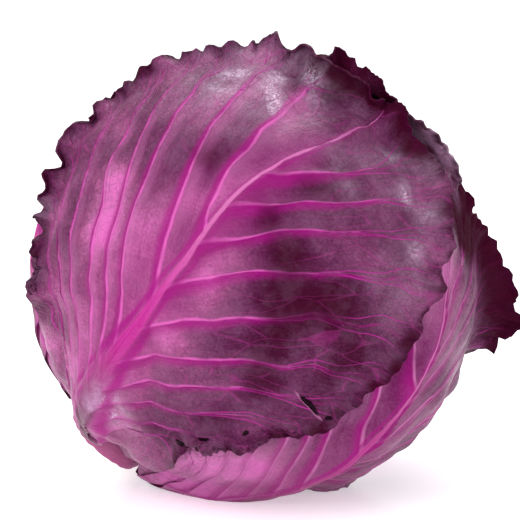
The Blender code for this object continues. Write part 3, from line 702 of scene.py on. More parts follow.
def make_leaf(index, material):
    """Joins a leaf's two faces round the rim; the veins' map keeps its own corners at the seam."""
    leaf = LEAVES[index]
    name = "leaf_" + str(index + 1)
    outer, inner, numbers, facing, read, flat, veins = leaf_shape(index)
    count = len(outer)
    grid = np.arange(veins.shape[0] * veins.shape[1]).reshape(veins.shape[:2])
    front, front_grid = squares(numbers), squares(grid)
    edge, edge_grid = rim(numbers), rim(grid)
    after, after_grid = np.roll(edge, -1), np.roll(edge_grid, -1)
    strip = np.stack([edge, after, after + count, edge + count], -1)
    strip_grid = np.stack([edge_grid, after_grid, after_grid, edge_grid], -1)
    faces = np.concatenate([front, front[:, ::-1] + count, strip])
    corners = np.concatenate([front_grid, front_grid[:, ::-1], strip_grid])
    if facing < 0.0:
        faces, corners = faces[:, ::-1], corners[:, ::-1]
    points = np.concatenate([outer, inner])
    mesh = mesh_from(name, points, [faces], veins.reshape(-1, 2)[corners.ravel()])
    read = {key: np.concatenate([values, values]) for key, values in read.items()}
    read["inside"] = np.concatenate([np.zeros(count), np.ones(count)])
    add_readings(mesh, read, np.concatenate([flat, flat]))
    add_piece(name, mesh, material, leaf["name"])


def make_heart(material):
    """The inner head: rings of points round the head's axis, whose radius carries the packed
    leaves' steps, each with a groove along it. A point reads the outermost packed leaf that reaches
    it, and veins fan out from that leaf's base."""
    rows, columns = HEAD_GRID
    down = np.linspace(0.0, math.pi, rows + 2)[1:-1, None]
    turn = np.linspace(0.0, 2.0 * math.pi, columns, endpoint=False)[None, :]
    directions = (np.sin(down) * np.cos(turn))[..., None] * FRONT
    directions = directions + (np.sin(down) * np.sin(turn))[..., None] * SIDE
    directions = directions + (np.cos(down) * np.ones_like(turn))[..., None] * AXIS
    directions = np.concatenate([directions.reshape(-1, 3), AXIS[None], -AXIS[None]])
    radius = heart_surface(directions)
    radius = radius + HEAD_UNEVEN * unevenness(directions * LEAF_SPHERE, HEAD_UNEVEN_LENGTH, 5)
    x, y = np.zeros(len(directions)), np.zeros(len(directions))
    edge, layer = np.full(len(directions), 0.05), np.full(len(directions), 9.0)
    for number, leaf in reversed(list(enumerate(HEART_LEAVES + CROWN_LEAVES))):
        distance, bearing = in_leaf(leaf, directions)
        waver = unevenness(np.radians(bearing)[:, None], 0.09, number)
        from_margin = reach(leaf, bearing) - distance + 0.0006 * waver
        here = from_margin > 0.0
        x = np.where(here, distance * np.sin(np.radians(bearing)), x)
        y = np.where(here, distance * np.cos(np.radians(bearing)), y)
        edge = np.where(here, from_margin, edge)
        layer = np.where(here, number, layer)
        radius = radius - HEAD_GROOVE * np.exp(-((from_margin / HEAD_GROOVE_HALF) ** 2))
    points = CENTRE + directions * radius[:, None]
    points[:, 2] = np.maximum(points[:, 2], layers_over(len(LEAVES), directions) + LEAF_GAP)
    fan, length = np.arctan2(x, y + HEAD_VEIN_BASE), np.hypot(x, y + HEAD_VEIN_BASE)
    faces = capped_rings(rows, columns)
    veins = np.stack([fan * HEAD_VEINS, np.clip(length / HEAD_VEIN_LENGTH, 0.0, 1.0)], -1)
    corners = veins[np.concatenate([part.ravel() for part in faces])]
    mottle = unevenness(directions * LEAF_SPHERE, 0.03, 7)
    tone = 0.30 + 0.10 * mottle + 0.30 * (1.0 - smooth(edge, 0.0, 0.008))
    mesh = mesh_from("inner_head", points, faces, corners)
    one = np.ones(len(directions))
    read = dict(spacing=length / HEAD_VEINS, start=0.5 * one, rib=0.0009 * one,
                edge=np.clip(edge, 0.0, 1.0), tone=tone, wax=0.2 * one, up=0.9 * one,
                side=np.sign(x + 1e-12), inside=0.0 * one, faint=0.0 * one)
    add_readings(mesh, read, np.stack([x, y, 2.0 + 0.37 * layer], -1))
    add_piece("inner_head", mesh, material, "heart")


def make_stalk(material):
    """The cut stalk: a profile turned about the head's axis, with a fluted side and a rough cut."""
    sides = 160
    profile = [(0.004, 0.0735), (0.009, 0.0734), (0.0139, 0.0728), (STALK_RADIUS, 0.0740)]
    profile += [(STALK_RADIUS, 0.0770), (0.0149, 0.0792), (0.0146, 0.0801), (0.0141, STALK_END)]
    profile += [(0.0141 * k / 18.0, STALK_END) for k in range(17, 0, -1)]
    profile = np.array(profile)
    turn = np.linspace(0.0, 2.0 * math.pi, sides, endpoint=False)
    radius, depth = profile[:, :1], profile[:, 1:]
    flute = 1.0 - 0.035 * (0.5 + 0.5 * np.cos(turn * 9.0)) * smooth(radius, 0.010, 0.0145)
    across_x, across_y = radius * flute * np.cos(turn), radius * flute * np.sin(turn)
    on_cut = np.stack([across_x, across_y, np.broadcast_to(depth, across_x.shape)], -1).reshape(-1, 3)
    on_cut = np.concatenate([on_cut, [(0.0, 0.0, 0.0735), (0.0, 0.0, STALK_END)]])
    bowl = np.hypot(on_cut[:, 0], on_cut[:, 1]) / 0.014
    rough = 0.00022 * unevenness(on_cut[:, :2], 0.0045, 11) - 0.0003 * bowl
    on_cut[:, 2] += rough * (on_cut[:, 2] > 0.0800)
    points = CENTRE + on_cut[:, :1] * FRONT + on_cut[:, 1:2] * SIDE - on_cut[:, 2:] * AXIS
    mesh = mesh_from("cut_stalk", points, capped_rings(len(profile), sides))
    add_readings(mesh, dict(), on_cut)
    add_piece("cut_stalk", mesh, material, "stalk")


def shade(red, green, blue):
    """A colour given as it looks on a screen, 0 to 255, as the light it sends back."""
    part = np.array([red, green, blue]) / 255.0
    light = np.where(part <= 0.04045, part / 12.92, ((part + 0.055) / 1.055) ** 2.4)
    return (*[float(v) for v in light], 1.0)


# Colours of the leaves' finish, by what they colour; the first goes from pale to deep places
BLADE_TONES = ((0.00, shade(190, 92, 160)), (0.14, shade(162, 86, 136)), (0.28, shade(134, 66, 108)),
               (0.45, shade(102, 46, 82)), (0.65, shade(76, 26, 60)), (0.85, shade(58, 8, 40)),
               (1.00, shade(46, 1, 26)))
PALE_BLADE = shade(220, 190, 216)
GREY_CLOUD = shade(112, 78, 104)
MIDDLE_GLOW = shade(146, 36, 116)
# Pale waxy coat, partly painted sheen
BLOOM_AND_SHEEN = shade(168, 142, 166)
# Painted glints in the waxy patches
PAINTED_GLINT = shade(226, 204, 226)
WEB = shade(150, 80, 126)
CRACKLE = shade(58, 16, 46)
NET = shade(150, 44, 118)
# Pink tint of painted light on a side vein's lit side
VEIN_LIT_TINT = shade(172, 92, 146)
# Deep magenta on a side vein's unlit side: the vein's own colour and painted shade
VEIN_MAGENTA_AND_SHADE = shade(134, 5, 102)
BRANCH_LINE = shade(160, 40, 128)
RIB_FLANK = shade(138, 8, 106)
# Painted shade along the midrib's right side
RIB_PAINTED_SHADE = shade(118, 8, 88)
RIB_FOOT = shade(92, 34, 68)
# Paler top of the midrib: its own colour and a painted highlight along its crest
RIB_TOP = shade(180, 104, 154)
RIB_FOOT_FIBRE = shade(118, 54, 94)
RIB_FIBRE = shade(184, 74, 148)
# Painted highlight on the midrib's lit left edge, low down
RIB_HIGHLIGHT = shade(160, 108, 140)
# The waxy coat on the midrib, partly painted sheen
RIB_BLOOM_AND_SHEEN = shade(164, 120, 158)
UNDERSIDE = shade(70, 6, 42)
UNDERSIDE_LIT_TINT = shade(124, 26, 84)
UNDERSIDE_STREAK = shade(44, 1, 26)
# Pale waxy coat on the underside, partly painted sheen
UNDERSIDE_BLOOM_AND_SHEEN = shade(190, 156, 182)
# Maroon of the darkest places, partly painted shade
MAROON_AND_SHADE = shade(50, 0, 22)
DRY_EDGE = shade(50, 4, 32)
TEAR_EDGE = shade(190, 120, 164)
# Painted shade inside a tear
TEAR_PIT_SHADE = shade(20, 1, 12)

# Widths in the finish, in metres, at the midrib and at the margin
# Half widths of the painted highlight on a side vein's lit side
HIGHLIGHT_HALF = (0.00105, 0.00022)
# Widths of the deep magenta, partly painted shade, on a side vein's unlit side
BAND_AT_MIDRIB = (0.0044, 0.0064)          # on the left and on the right half of a leaf
BAND_AT_MARGIN = 0.0012
# Widths of the painted lit tint beside a side vein
LIT_TINT_WIDTH = (0.0085, 0.0022)
BRANCH_LINE_HALF = (0.0001, 0.0004)        # full to here, and gone from there
DRY_STRIP = 0.0026
# Strip of painted shade beside the midrib, full to the first width and gone at the second
RIB_SHADE_STRIP = (0.0005, 0.0085)


class Finish:
    """A finish, written as sums on what its surface reads."""

    def __init__(self, name):
        self.material = bpy.data.materials.new(name)
        self.material.use_nodes = True
        self.tree = self.material.node_tree
        self.shader = self.tree.nodes["Principled BSDF"]

    def put(self, socket, value):
        """Links a result to a socket, or sets a plain value there."""
        if isinstance(value, bpy.types.NodeSocket):
            self.tree.links.new(value, socket)
        else:
            socket.default_value = value

    def step(self, kind, settings, values):
        """A node of a kind, with its settings and what goes into its sockets."""
        made = self.tree.nodes.new(kind)
        for name, value in settings.items():
            setattr(made, name, value)
        for name, value in values.items():
            self.put(made.inputs[name], value)
        return made

    def read(self, name, out="Fac"):
        """What the mesh holds under a name."""
        return self.step("ShaderNodeAttribute", {"attribute_name": name}, {}).outputs[out]

    def sum(self, operation, *values, clamp=False):
        """One operation on numbers."""
        kind = {"operation": operation, "use_clamp": clamp}
        return self.step("ShaderNodeMath", kind, dict(enumerate(values))).outputs[0]

    def product(self, first, *others):
        """The product of all values."""
        for other in others:
            first = self.sum("MULTIPLY", first, other)
        return first

    def gap(self, first, second):
        """The size of the difference between two values."""
        return self.sum("ABSOLUTE", self.sum("SUBTRACT", first, second))

    def above(self, value, limit):
        """1 where a value is more than a limit, and 0 elsewhere."""
        return self.sum("GREATER_THAN", value, limit)

    def varied(self, noise, share, base):
        """A base that a noise makes more or less, by share of its distance from a half."""
        return self.sum("MULTIPLY_ADD", self.sum("SUBTRACT", noise, 0.5), share, base)

    def ease(self, value, low, high, first=0.0, last=1.0):
        """First below low, last above high, and an even S between them."""
        kind = {"interpolation_type": "SMOOTHSTEP"}
        ends = {"Value": value, "From Min": low, "From Max": high, "To Min": first, "To Max": last}
        return self.step("ShaderNodeMapRange", kind, ends).outputs["Result"]

    def fade(self, value, low, high):
        """1 below low and 0 above high."""
        return self.ease(value, low, high, 1.0, 0.0)

    def mix(self, share, first, second):
        """The first colour, with a share of the second."""
        kind = {"data_type": "RGBA", "clamp_factor": True}
        return self.step("ShaderNodeMix", kind, {0: share, 6: first, 7: second}).outputs[2]

    def noise(self, place, scale, detail=3.0, rough=0.55):
        """Uneven grey, with scale changes in one unit of length."""
        values = {"Vector": place, "Scale": scale, "Detail": detail, "Roughness": rough}
        return self.step("ShaderNodeTexNoise", {}, values).outputs["Fac"]

    def cells(self, place, scale):
        """Distance to the edge of the cell that a place lies in."""
        kind = {"feature": "DISTANCE_TO_EDGE"}
        values = {"Vector": place, "Scale": scale}
        return self.step("ShaderNodeTexVoronoi", kind, values).outputs["Distance"]

    def stretch(self, place, scale):
        """A place times a scale, one for each direction."""
        return self.step("ShaderNodeMapping", {}, {"Vector": place, "Scale": scale}).outputs["Vector"]

    def parts(self, place):
        """The three numbers of a place."""
        return self.step("ShaderNodeSeparateXYZ", {}, {"Vector": place}).outputs

    def point(self, x, y, z):
        """A place from three numbers."""
        return self.step("ShaderNodeCombineXYZ", {}, {0: x, 1: y, 2: z}).outputs[0]

    def jolted(self, base, place, scale, share):
        """A base moved by share of the three colours of a noise."""
        colours = self.step("ShaderNodeTexNoise", {}, {"Vector": place, "Scale": scale})
        values = {0: colours.outputs["Color"], "Scale": share}
        shift = self.step("ShaderNodeVectorMath", {"operation": "SCALE"}, values).outputs[0]
        return self.step("ShaderNodeVectorMath", {"operation": "ADD"}, {0: base, 1: shift}).outputs[0]

    def ramp(self, share, stops):
        """Colour by share, blended between its stops."""
        made = self.step("ShaderNodeValToRGB", {}, {"Fac": share})
        band = made.color_ramp
        while len(band.elements) < len(stops):
            band.elements.new(0.5)
        for element, (at, colour) in zip(band.elements, stops):
            element.position = at
            element.color = colour
        return made.outputs["Color"]


def leaf_readings(skin):
    """What a leaf's finish reads: its numbers, its own plane and its veins' map."""
    names = ("spacing", "start", "edge", "rib", "tone", "wax", "up", "side", "inside")
    leaf = SimpleNamespace(**{name: skin.read(name) for name in names})
    leaf.place = skin.read("plane", "Vector")
    leaf.x, leaf.y, leaf.layer = skin.parts(leaf.place)
    veins = skin.step("ShaderNodeUVMap", {"uv_map": "veins"}, {}).outputs["UV"]
    leaf.count, leaf.across, _ = skin.parts(veins)
    leaf.waver = skin.sum("SUBTRACT", skin.noise(leaf.place, 95.0, 2.0, 0.5), 0.5)
    leaf.seen = skin.sum("SUBTRACT", 1.0, skin.read("faint"))
    return leaf


def side_veins(skin, leaf):
    """Where the side veins and their branches colour a blade.

    A side vein is where the count of the veins' map passes a half. Metres from it have a sign:
    the side towards the tip is taken as the lit side and carries a thin bright line, a painted
    highlight, and a pink tint that is painted light; the other side carries a band of deep magenta,
    partly the vein's own colour and partly painted shade. Branches stand off from it by a share that
    grows towards the margin.
    """
    across = leaf.across
    sway = skin.sum("DIVIDE", skin.product(leaf.waver, 0.0016), leaf.spacing)
    middle = skin.sum("SUBTRACT", skin.sum("ADD", sway, leaf.count), 0.5)
    signed = skin.sum("SUBTRACT", middle, skin.sum("ROUND", middle))
    off = skin.sum("ABSOLUTE", signed)
    half_way = skin.fade(off, 0.28, 0.5)
    lit = skin.product(skin.product(signed, leaf.spacing), skin.product(leaf.side, -1.0))
    half = skin.ease(across, 0.0, 1.0, *HIGHLIGHT_HALF)
    # The thin bright line on the lit side is a painted highlight
    from_line = skin.gap(lit, skin.product(half, 0.7))
    leaf.line = skin.fade(from_line, skin.product(half, 0.2), half)

    # The band of deep magenta on the unlit side: the vein's own colour and painted shade
    width = skin.ease(leaf.side, -1.0, 1.0, *BAND_AT_MIDRIB)
    width = skin.ease(across, 0.0, 0.9, width, BAND_AT_MARGIN)
    band = skin.ease(lit, skin.product(width, -1.0), skin.product(width, -0.1))
    leaf.band = skin.product(band, skin.fade(lit, 0.0, skin.product(half, 0.8)), half_way)
    # The pink tint on the lit side is painted light
    wash = skin.fade(lit, 0.0, skin.ease(across, 0.0, 1.0, *LIT_TINT_WIDTH))
    wash = skin.product(wash, skin.above(lit, 0.0), leaf.seen, skin.ease(across, 0.04, 0.16))
    leaf.wash = skin.product(wash, half_way, skin.ease(leaf.side, -1.0, 1.0, 1.0, 0.25))

    swing = skin.product(skin.ease(across, leaf.start, 1.25), BRANCH_SWING)
    from_branch = skin.product(skin.gap(off, swing), leaf.spacing)
    leaf.branch = skin.product(skin.fade(from_branch, *BRANCH_LINE_HALF), skin.above(across, leaf.start))


def fine_texture(skin, leaf):
    """Net and web are the edges of large and small cells drawn out along the veins, crackle those
    of tiny ones on the leaf's plane. Streaks follow the veins and fibres the midrib. Depth, from
    pale to dark, is the tone made uneven by cloud, streak, blotch and speck."""
    place = leaf.place
    drawn = skin.point(skin.product(leaf.count, 2.1), skin.product(leaf.across, 3.4), leaf.layer)
    bent = skin.jolted(drawn, place, 70.0, 0.30)
    leaf.net = skin.fade(skin.cells(bent, 1.0), 0.0, 0.028)
    leaf.web = skin.fade(skin.cells(bent, 4.2), 0.0, 0.09)
    shaken = skin.jolted(place, place, 240.0, 0.0032)
    leaf.crackle = skin.fade(skin.cells(shaken, 300.0), 0.0, 0.10)
    long = skin.point(skin.product(leaf.count, 15.0), skin.product(leaf.across, 6.0), leaf.layer)
    leaf.streak = skin.noise(long, 1.0, 3.0, 0.6)
    leaf.fibre = skin.noise(skin.stretch(place, (1100.0, 60.0, 1.0)), 1.0, 2.0, 0.5)
    leaf.cloud = skin.noise(place, 42.0, 7.0, 0.66)
    blotch, speck = skin.noise(place, 230.0, 4.0, 0.7), skin.noise(place, 1000.0, 2.0, 0.6)
    leaf.depth = leaf.tone
    for noise, share in ((leaf.cloud, 0.62), (leaf.streak, 0.22), (blotch, 0.34), (speck, 0.42)):
        leaf.depth = skin.varied(noise, share, leaf.depth)


def blade_colour(skin, leaf, pale, highlight_colour, glow):
    """The outward skin: mauve to maroon by depth, warmer near the midrib, with the waxy coat's pale
    patches, partly painted sheen, and painted glints in them, then the crackle, the net and the side
    veins with their painted highlight, painted light and partly painted shade. The veins' deep colours
    end at the margin, in dark places and where veins are faint."""
    place, across = leaf.place, leaf.across
    blade = skin.ramp(leaf.depth, BLADE_TONES)
    blade = skin.mix(skin.ease(leaf.depth, 0.45, 0.80, pale, 0.0), blade, PALE_BLADE)
    clouds = skin.noise(place, 75.0, 6.0, 0.7)
    blade = skin.mix(skin.ease(clouds, 0.44, 0.62, 0.0, 0.24), blade, GREY_CLOUD)
    blade = skin.mix(skin.ease(across, 0.0, 0.35, 0.40 * glow, 0.0), blade, MIDDLE_GLOW)
    # Pale waxy coat, partly painted sheen
    powder_and_sheen = skin.ease(skin.noise(place, 260.0, 4.0, 0.7), 0.30, 0.70, 0.40, 1.05)
    leaf.bloom = skin.sum("MULTIPLY", leaf.wax, powder_and_sheen, clamp=True)
    blade = skin.mix(skin.product(leaf.bloom, 0.66), blade, BLOOM_AND_SHEEN)
    # Painted glints in the waxy patches
    painted_glint = skin.ease(skin.gap(skin.noise(place, 330.0, 3.0, 0.7), 0.5), 0.0, 0.03, 0.75, 0.0)
    blade = skin.mix(skin.product(painted_glint, skin.ease(leaf.wax, 0.45, 1.0)), blade, PAINTED_GLINT)
    blade = skin.mix(skin.product(leaf.web, 0.04), blade, WEB)
    crackled = skin.product(leaf.crackle, skin.ease(across, 0.05, 0.5, 0.05, 0.26))
    blade = skin.mix(crackled, blade, CRACKLE)
    blade = skin.mix(skin.product(leaf.net, skin.ease(across, 0.1, 0.5, 0.0, 0.30)), blade, NET)
    # Pink tint of painted light beside the veins
    washed = skin.product(leaf.wash, skin.ease(across, 0.1, 0.9, 0.46 * glow, 0.10))
    blade = skin.mix(washed, blade, VEIN_LIT_TINT)

    # The darkest tones turn maroon: partly the leaf's own colour, partly painted shade in hollows and under
    # overlapping margins
    leaf.gloom = skin.ease(leaf.tone, 0.70, 1.15, 0.0, 0.88)
    clear = skin.sum("SUBTRACT", 1.0, leaf.gloom)
    inwards = skin.product(skin.ease(leaf.edge, 0.001, 0.012), clear, leaf.seen)
    thinner = skin.ease(across, 0.3, 0.8, 0.9, 0.25)
    patchy = skin.ease(skin.noise(place, 85.0, 2.0, 0.5), 0.36, 0.58, thinner, 1.0)
    # Deep magenta band, partly painted shade
    band = skin.product(leaf.band, inwards, patchy, skin.ease(across, 0.2, 1.0, 0.85, 0.50))
    blade = skin.mix(band, blade, VEIN_MAGENTA_AND_SHADE)
    blade = skin.mix(skin.product(leaf.branch, inwards, 0.70), blade, BRANCH_LINE)
    thinner = skin.ease(across, 0.2, 0.7, 0.6, 0.1)
    broken = skin.ease(skin.noise(place, 120.0, 2.0, 0.5), 0.38, 0.60, thinner, 1.0)
    # Painted highlight along the lit side of each side vein
    painted_highlight = skin.product(leaf.line, skin.product(broken, inwards))
    return skin.mix(skin.product(painted_highlight, skin.ease(across, 0.1, 0.8, 0.85, 0.36)), blade, highlight_colour)


def midrib_colour(skin, leaf, blade, rib_colour, glow):
    """The midrib, by how many of its half widths a place lies beside it: a core, darker at its foot
    and paler at its top, where the paleness is partly painted highlight along its crest, flanks of
    deep magenta, a strip of painted shade on the right and a painted highlight low on the left edge."""
    up = leaf.up
    from_middle = skin.sum("ABSOLUTE", skin.sum("MULTIPLY_ADD", leaf.waver, 0.0015, leaf.x))
    share = skin.sum("DIVIDE", from_middle, leaf.rib)
    full, gone = skin.ease(up, 0.40, 0.70, 0.55, 0.28), skin.ease(up, 0.40, 0.70, 1.05, 0.72)
    leaf.core = skin.fade(share, full, gone)
    flank = skin.fade(skin.gap(share, 1.35), 0.10, 0.75)
    flank = skin.product(flank, skin.ease(up, 0.45, 0.80, 0.85, 0.45))
    blade = skin.mix(flank, blade, RIB_FLANK)
    # Painted shade along the midrib's right side
    rib_shade = skin.fade(skin.sum("MULTIPLY_ADD", leaf.waver, 0.004, leaf.x), *RIB_SHADE_STRIP)
    rib_shade = skin.product(rib_shade, skin.above(leaf.x, 0.0), skin.ease(up, 0.25, 0.55, 0.15, 0.62 * glow))
    blade = skin.mix(skin.product(rib_shade, skin.ease(up, 0.85, 1.0, 1.0, 0.2)), blade, RIB_PAINTED_SHADE)
    stem = skin.mix(skin.ease(up, 0.12, 0.50), RIB_FOOT, rib_colour)
    # Paler towards the top: the rib's own colour and a painted highlight along its crest
    stem = skin.mix(skin.ease(up, 0.50, 0.80, 0.0, 0.80), stem, RIB_TOP)
    fibres = skin.mix(skin.ease(up, 0.15, 0.55), RIB_FOOT_FIBRE, RIB_FIBRE)
    stem = skin.mix(skin.ease(leaf.fibre, 0.35, 0.75, 0.0, 0.45), stem, fibres)
    blade = skin.mix(leaf.core, blade, stem)
    # Painted highlight low on the midrib's lit left edge
    from_edge = skin.sum("ABSOLUTE", skin.sum("ADD", skin.sum("DIVIDE", leaf.x, leaf.rib), 1.3))
    rib_highlight = skin.product(skin.ease(from_edge, 0.0, 0.30, 0.6, 0.0), skin.fade(up, 0.22, 0.42))
    blade = skin.mix(rib_highlight, blade, RIB_HIGHLIGHT)
    # Pale waxy coat on the midrib's core, partly painted sheen
    return skin.mix(skin.product(leaf.bloom, leaf.core, 0.8), blade, RIB_BLOOM_AND_SHEEN)


def underside_colour(skin, leaf):
    """The face towards the head, seen where a margin rolls outwards: dark and streaked, pinker under the
    upper face's painted lit tint, and pale with the waxy coat and its painted sheen.
    """
    # Pinker where the upper face has its painted lit tint
    under = skin.mix(skin.product(leaf.wash, 0.30), UNDERSIDE, UNDERSIDE_LIT_TINT)
    under = skin.mix(skin.ease(leaf.streak, 0.4, 0.8, 0.0, 0.5), under, UNDERSIDE_STREAK)
    # Pale waxy coat, partly painted sheen
    powder_and_sheen = skin.product(leaf.bloom, skin.ease(leaf.streak, 0.3, 0.7, 0.95, 0.60))
    return skin.mix(powder_and_sheen, under, UNDERSIDE_BLOOM_AND_SHEEN)


def tear_marks(skin, leaf, blade, height, tears):
    """Tears, dark inside as painted shade in their hollows: each is an ellipse on the leaf's plane with
    a wavering edge, and the first, the long one, has a pale lip below."""
    for number, (x, y, length, width, turn) in enumerate(tears):
        c, s = math.cos(math.radians(turn)), math.sin(math.radians(turn))
        px = skin.sum("MULTIPLY_ADD", leaf.x, 1000.0, -x)
        py = skin.sum("MULTIPLY_ADD", leaf.y, 1000.0, -y)
        on_line = skin.sum("ADD", skin.product(px, c), skin.product(py, s))
        off_line = skin.sum("SUBTRACT", skin.product(py, c), skin.product(px, s))
        on = skin.sum("DIVIDE", on_line, length / 2.0)
        beside = skin.sum("MULTIPLY_ADD", leaf.waver, 3.0, skin.sum("DIVIDE", off_line, width))
        gone = skin.sum("SQRT", skin.sum("ADD", skin.product(on, on), skin.product(beside, beside)))
        if number == 0:
            lip = skin.ease(skin.gap(gone, 1.15), 0.0, 0.35, 0.40, 0.0)
            lip = skin.product(lip, skin.sum("LESS_THAN", beside, 0.0))
            blade = skin.mix(lip, blade, TEAR_EDGE)
        pit = skin.fade(gone, 0.75, 1.05)
        blade = skin.mix(pit, blade, TEAR_PIT_SHADE)
        height = skin.sum("MULTIPLY_ADD", pit, -1.0, height)
    return blade, height


def leaf_finish(name, pale, rib_colour, highlight_colour, gloss, glow=1.0, tears=()):
    """Skin of a leaf: blade, side veins and midrib, the underside where a point lies inside, then
    the maroon of the darkest places, partly painted shade, the dry edge and the tears. Its fine relief
    adds up the same patterns, each by its own share."""
    skin = Finish(name)
    leaf = leaf_readings(skin)
    side_veins(skin, leaf)
    fine_texture(skin, leaf)
    blade = blade_colour(skin, leaf, pale, highlight_colour, glow)
    blade = midrib_colour(skin, leaf, blade, rib_colour, glow)
    blade = skin.mix(skin.product(leaf.inside, 0.90), blade, underside_colour(skin, leaf))
    blade = skin.mix(leaf.gloom, blade, MAROON_AND_SHADE)
    dry = skin.ease(skin.noise(leaf.place, 210.0, 2.0, 0.5), 0.42, 0.60, 0.2, 0.85)
    blade = skin.mix(skin.product(skin.fade(leaf.edge, 0.0, DRY_STRIP), dry), blade, DRY_EDGE)
    blade, height = tear_marks(skin, leaf, blade, skin.product(leaf.line, 0.30), tears)

    crinkle = skin.noise(leaf.place, 380.0, 3.0, 0.7)
    crinkle = skin.product(crinkle, skin.ease(leaf.edge, 0.004, 0.034, 1.4, 0.35))
    relief = ((leaf.branch, 0.18),
              (leaf.net, skin.ease(leaf.across, 0.05, 0.4, 0.0, 0.14)),
              (leaf.web, 0.06),
              (leaf.crackle, skin.ease(leaf.across, 0.05, 0.5, -0.02, -0.10)),
              (leaf.streak, 0.30),
              (crinkle, 0.60),
              (skin.product(leaf.fibre, leaf.core), 0.30))
    for pattern, share in relief:
        height = skin.sum("MULTIPLY_ADD", pattern, share, height)
    bump = skin.step("ShaderNodeBump", {}, {"Strength": 0.8, "Distance": 0.0011, "Height": height})
    gloss = skin.ease(leaf.cloud, 0.3, 0.7, gloss, gloss + 0.12)
    skin.put(skin.shader.inputs["Base Color"], blade)
    skin.put(skin.shader.inputs["Roughness"], skin.sum("MULTIPLY_ADD", leaf.gloom, 0.35, gloss))
    skin.put(skin.shader.inputs["Normal"], bump.outputs["Normal"])
    skin.put(skin.shader.inputs["Specular IOR Level"], skin.ease(leaf.depth, 0.4, 0.9, 0.13, 0.04))
    skin.shader.inputs["Specular Tint"].default_value = (1.0, 0.72, 0.92, 1.0)
    return skin.material


def stalk_finish():
    """Cut stalk: pale, grained wood with a paler pith and one ring by distance from its axis,
    browned by the air in patches, and magenta on its skin."""
    wood = Finish("cut_stalk_fibre")
    place = wood.read("plane", "Vector")
    x, y, _ = wood.parts(place)
    from_axis = wood.sum("SQRT", wood.sum("ADD", wood.product(x, x), wood.product(y, y)))
    grain = wood.noise(place, 900.0, 4.0, 0.6)
    ring = wood.fade(wood.gap(from_axis, 0.0105), 0.0006, 0.0022)
    pith = wood.fade(from_axis, 0.004, 0.009)
    body = wood.mix(grain, shade(214, 196, 178), shade(184, 150, 148))
    body = wood.mix(wood.product(pith, 0.6), body, shade(232, 222, 204))
    body = wood.mix(wood.product(ring, 0.5), body, shade(168, 112, 132))
    brown = wood.ease(wood.noise(place, 170.0, 3.0, 0.6), 0.52, 0.75, 0.0, 0.6)
    body = wood.mix(brown, body, shade(138, 100, 78))
    body = wood.mix(wood.ease(from_axis, 0.0134, 0.0142, 0.0, 0.9), body, shade(150, 40, 112))
    bump = wood.step("ShaderNodeBump", {}, {"Strength": 0.6, "Distance": 0.0006, "Height": grain})
    wood.put(wood.shader.inputs["Base Color"], body)
    wood.put(wood.shader.inputs["Roughness"], wood.ease(grain, 0.3, 0.7, 0.55, 0.75))
    wood.put(wood.shader.inputs["Normal"], bump.outputs["Normal"])
    return wood.material


def floor_finish():
    """A white, faintly glossy table top, lit a little from below as a light table is."""
    top = Finish("white_top")
    place = top.step("ShaderNodeTexCoord", {}, {}).outputs["Object"]
    white = top.mix(top.noise(place, 3.0), (0.90, 0.90, 0.90, 1.0), (0.93, 0.93, 0.93, 1.0))
    top.put(top.shader.inputs["Base Color"], white)
    top.shader.inputs["Roughness"].default_value = 0.22
    top.shader.inputs["Specular IOR Level"].default_value = 0.35
    top.shader.inputs["Emission Color"].default_value = (1.0, 0.95, 1.0, 1.0)
    top.shader.inputs["Emission Strength"].default_value = 0.40
    return top.material


def make_floor():
    """A level sheet at the height of the flat spot."""
    half = 3.0
    points = np.array([(-half, -half, 0.0), (half, -half, 0.0), (half, half, 0.0), (-half, half, 0.0)])
    mesh = mesh_from("table_top", points, [np.array([[0, 1, 2, 3]])])
    mesh.materials.append(floor_finish())
    floor = bpy.data.objects.new("table_top", mesh)
    bpy.context.scene.collection.objects.link(floor)


def aim(thing, place, target):
    """Puts a lamp or the camera at a place, turned to look at a target."""
    thing.location = place
    thing.rotation_mode = "QUATERNION"
    thing.rotation_quaternion = (Vector(target) - Vector(place)).to_track_quat("-Z", "Y")


def add_lamp(name, place, width, height, power):
    """A soft box that looks at the head."""
    data = bpy.data.lights.new(name, "AREA")
    data.shape = "RECTANGLE"
    data.size, data.size_y = width, height
    data.energy = power
    lamp = bpy.data.objects.new(name, data)
    bpy.context.scene.collection.objects.link(lamp)
    aim(lamp, place, (0.0, 0.0, 0.07))


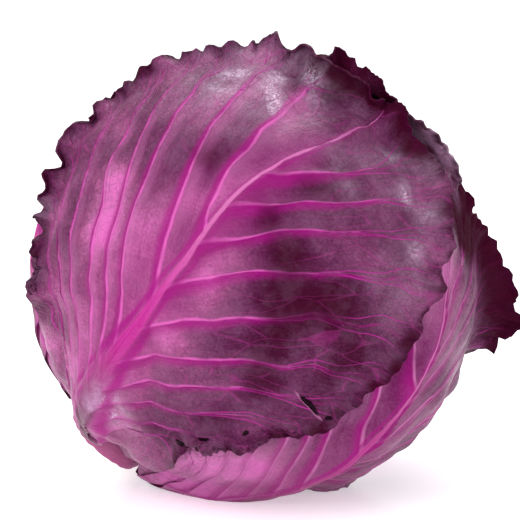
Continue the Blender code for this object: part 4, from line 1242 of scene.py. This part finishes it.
def light_and_camera():
    """Pale surroundings, a broad soft light from above, soft boxes left, right, low in front and
    behind, and a camera whose lens shows twice the half frame at the target."""
    world = bpy.data.worlds.new("pale_room")
    bpy.context.scene.world = world
    world.use_nodes = True
    world.node_tree.nodes["Background"].inputs["Color"].default_value = (1.0, 1.0, 1.0, 1.0)
    world.node_tree.nodes["Background"].inputs["Strength"].default_value = 0.45
    broad = bpy.data.lights.new("broad_light", "SUN")
    broad.energy = 2.1
    broad.angle = math.radians(95.0)
    lamp = bpy.data.objects.new("broad_light", broad)
    bpy.context.scene.collection.objects.link(lamp)
    aim(lamp, (-0.35, -0.35, 1.0), (0.0, 0.0, 0.0))
    add_lamp("left_box", (-0.55, -0.70, 0.75), 0.5, 0.5, 3.5)
    add_lamp("right_box", (0.9, -0.5, 0.35), 0.5, 0.7, 2.5)
    add_lamp("low_box", (-0.1, -0.95, 0.10), 0.9, 0.25, 2.0)
    add_lamp("back_box", (0.1, 0.55, 0.9), 0.8, 0.5, 5.0)
    data = bpy.data.cameras.new("camera")
    data.sensor_width = SENSOR
    data.lens = SENSOR / 2.0 * CAMERA_DISTANCE / HALF_FRAME
    camera = bpy.data.objects.new("camera", data)
    bpy.context.scene.collection.objects.link(camera)
    x, y, z = CAMERA_TARGET
    away = CAMERA_DISTANCE * math.cos(math.radians(CAMERA_RISE))
    above = CAMERA_DISTANCE * math.sin(math.radians(CAMERA_RISE))
    aim(camera, (x, y - away, z + above), CAMERA_TARGET)
    bpy.context.scene.camera = camera
    bpy.context.scene.view_settings.view_transform = "Standard"
    bpy.context.scene.view_settings.exposure = 0.10


def main():
    """Builds the pieces from the outside inwards, then the stage."""
    # The fourth colour of each leaf skin is the painted highlight of its side veins
    dark_skin = leaf_finish("outer_leaf_skin", 0.0, shade(158, 26, 118), shade(180, 80, 152), 0.32)
    torn_skin = leaf_finish("torn_leaf_skin", 0.0, shade(158, 26, 118), shade(190, 82, 158), 0.32,
                            tears=TEARS)
    lower_skin = leaf_finish("lower_leaf_skin", 0.04, shade(150, 40, 112), shade(176, 96, 150), 0.34,
                             glow=0.75)
    left_skin = leaf_finish("left_leaf_skin", 0.08, shade(196, 44, 142), shade(196, 84, 166), 0.32)
    pale_skin = leaf_finish("pale_leaf_skin", 0.66, shade(200, 126, 180), shade(214, 184, 208), 0.30)
    head_skin = leaf_finish("inner_head_skin", 0.18, shade(206, 80, 166), shade(214, 120, 190), 0.30)
    for index, skin in enumerate((torn_skin, dark_skin, lower_skin, left_skin, pale_skin)):
        make_leaf(index, skin)
    make_heart(head_skin)
    make_stalk(stalk_finish())
    make_floor()
    light_and_camera()


main()
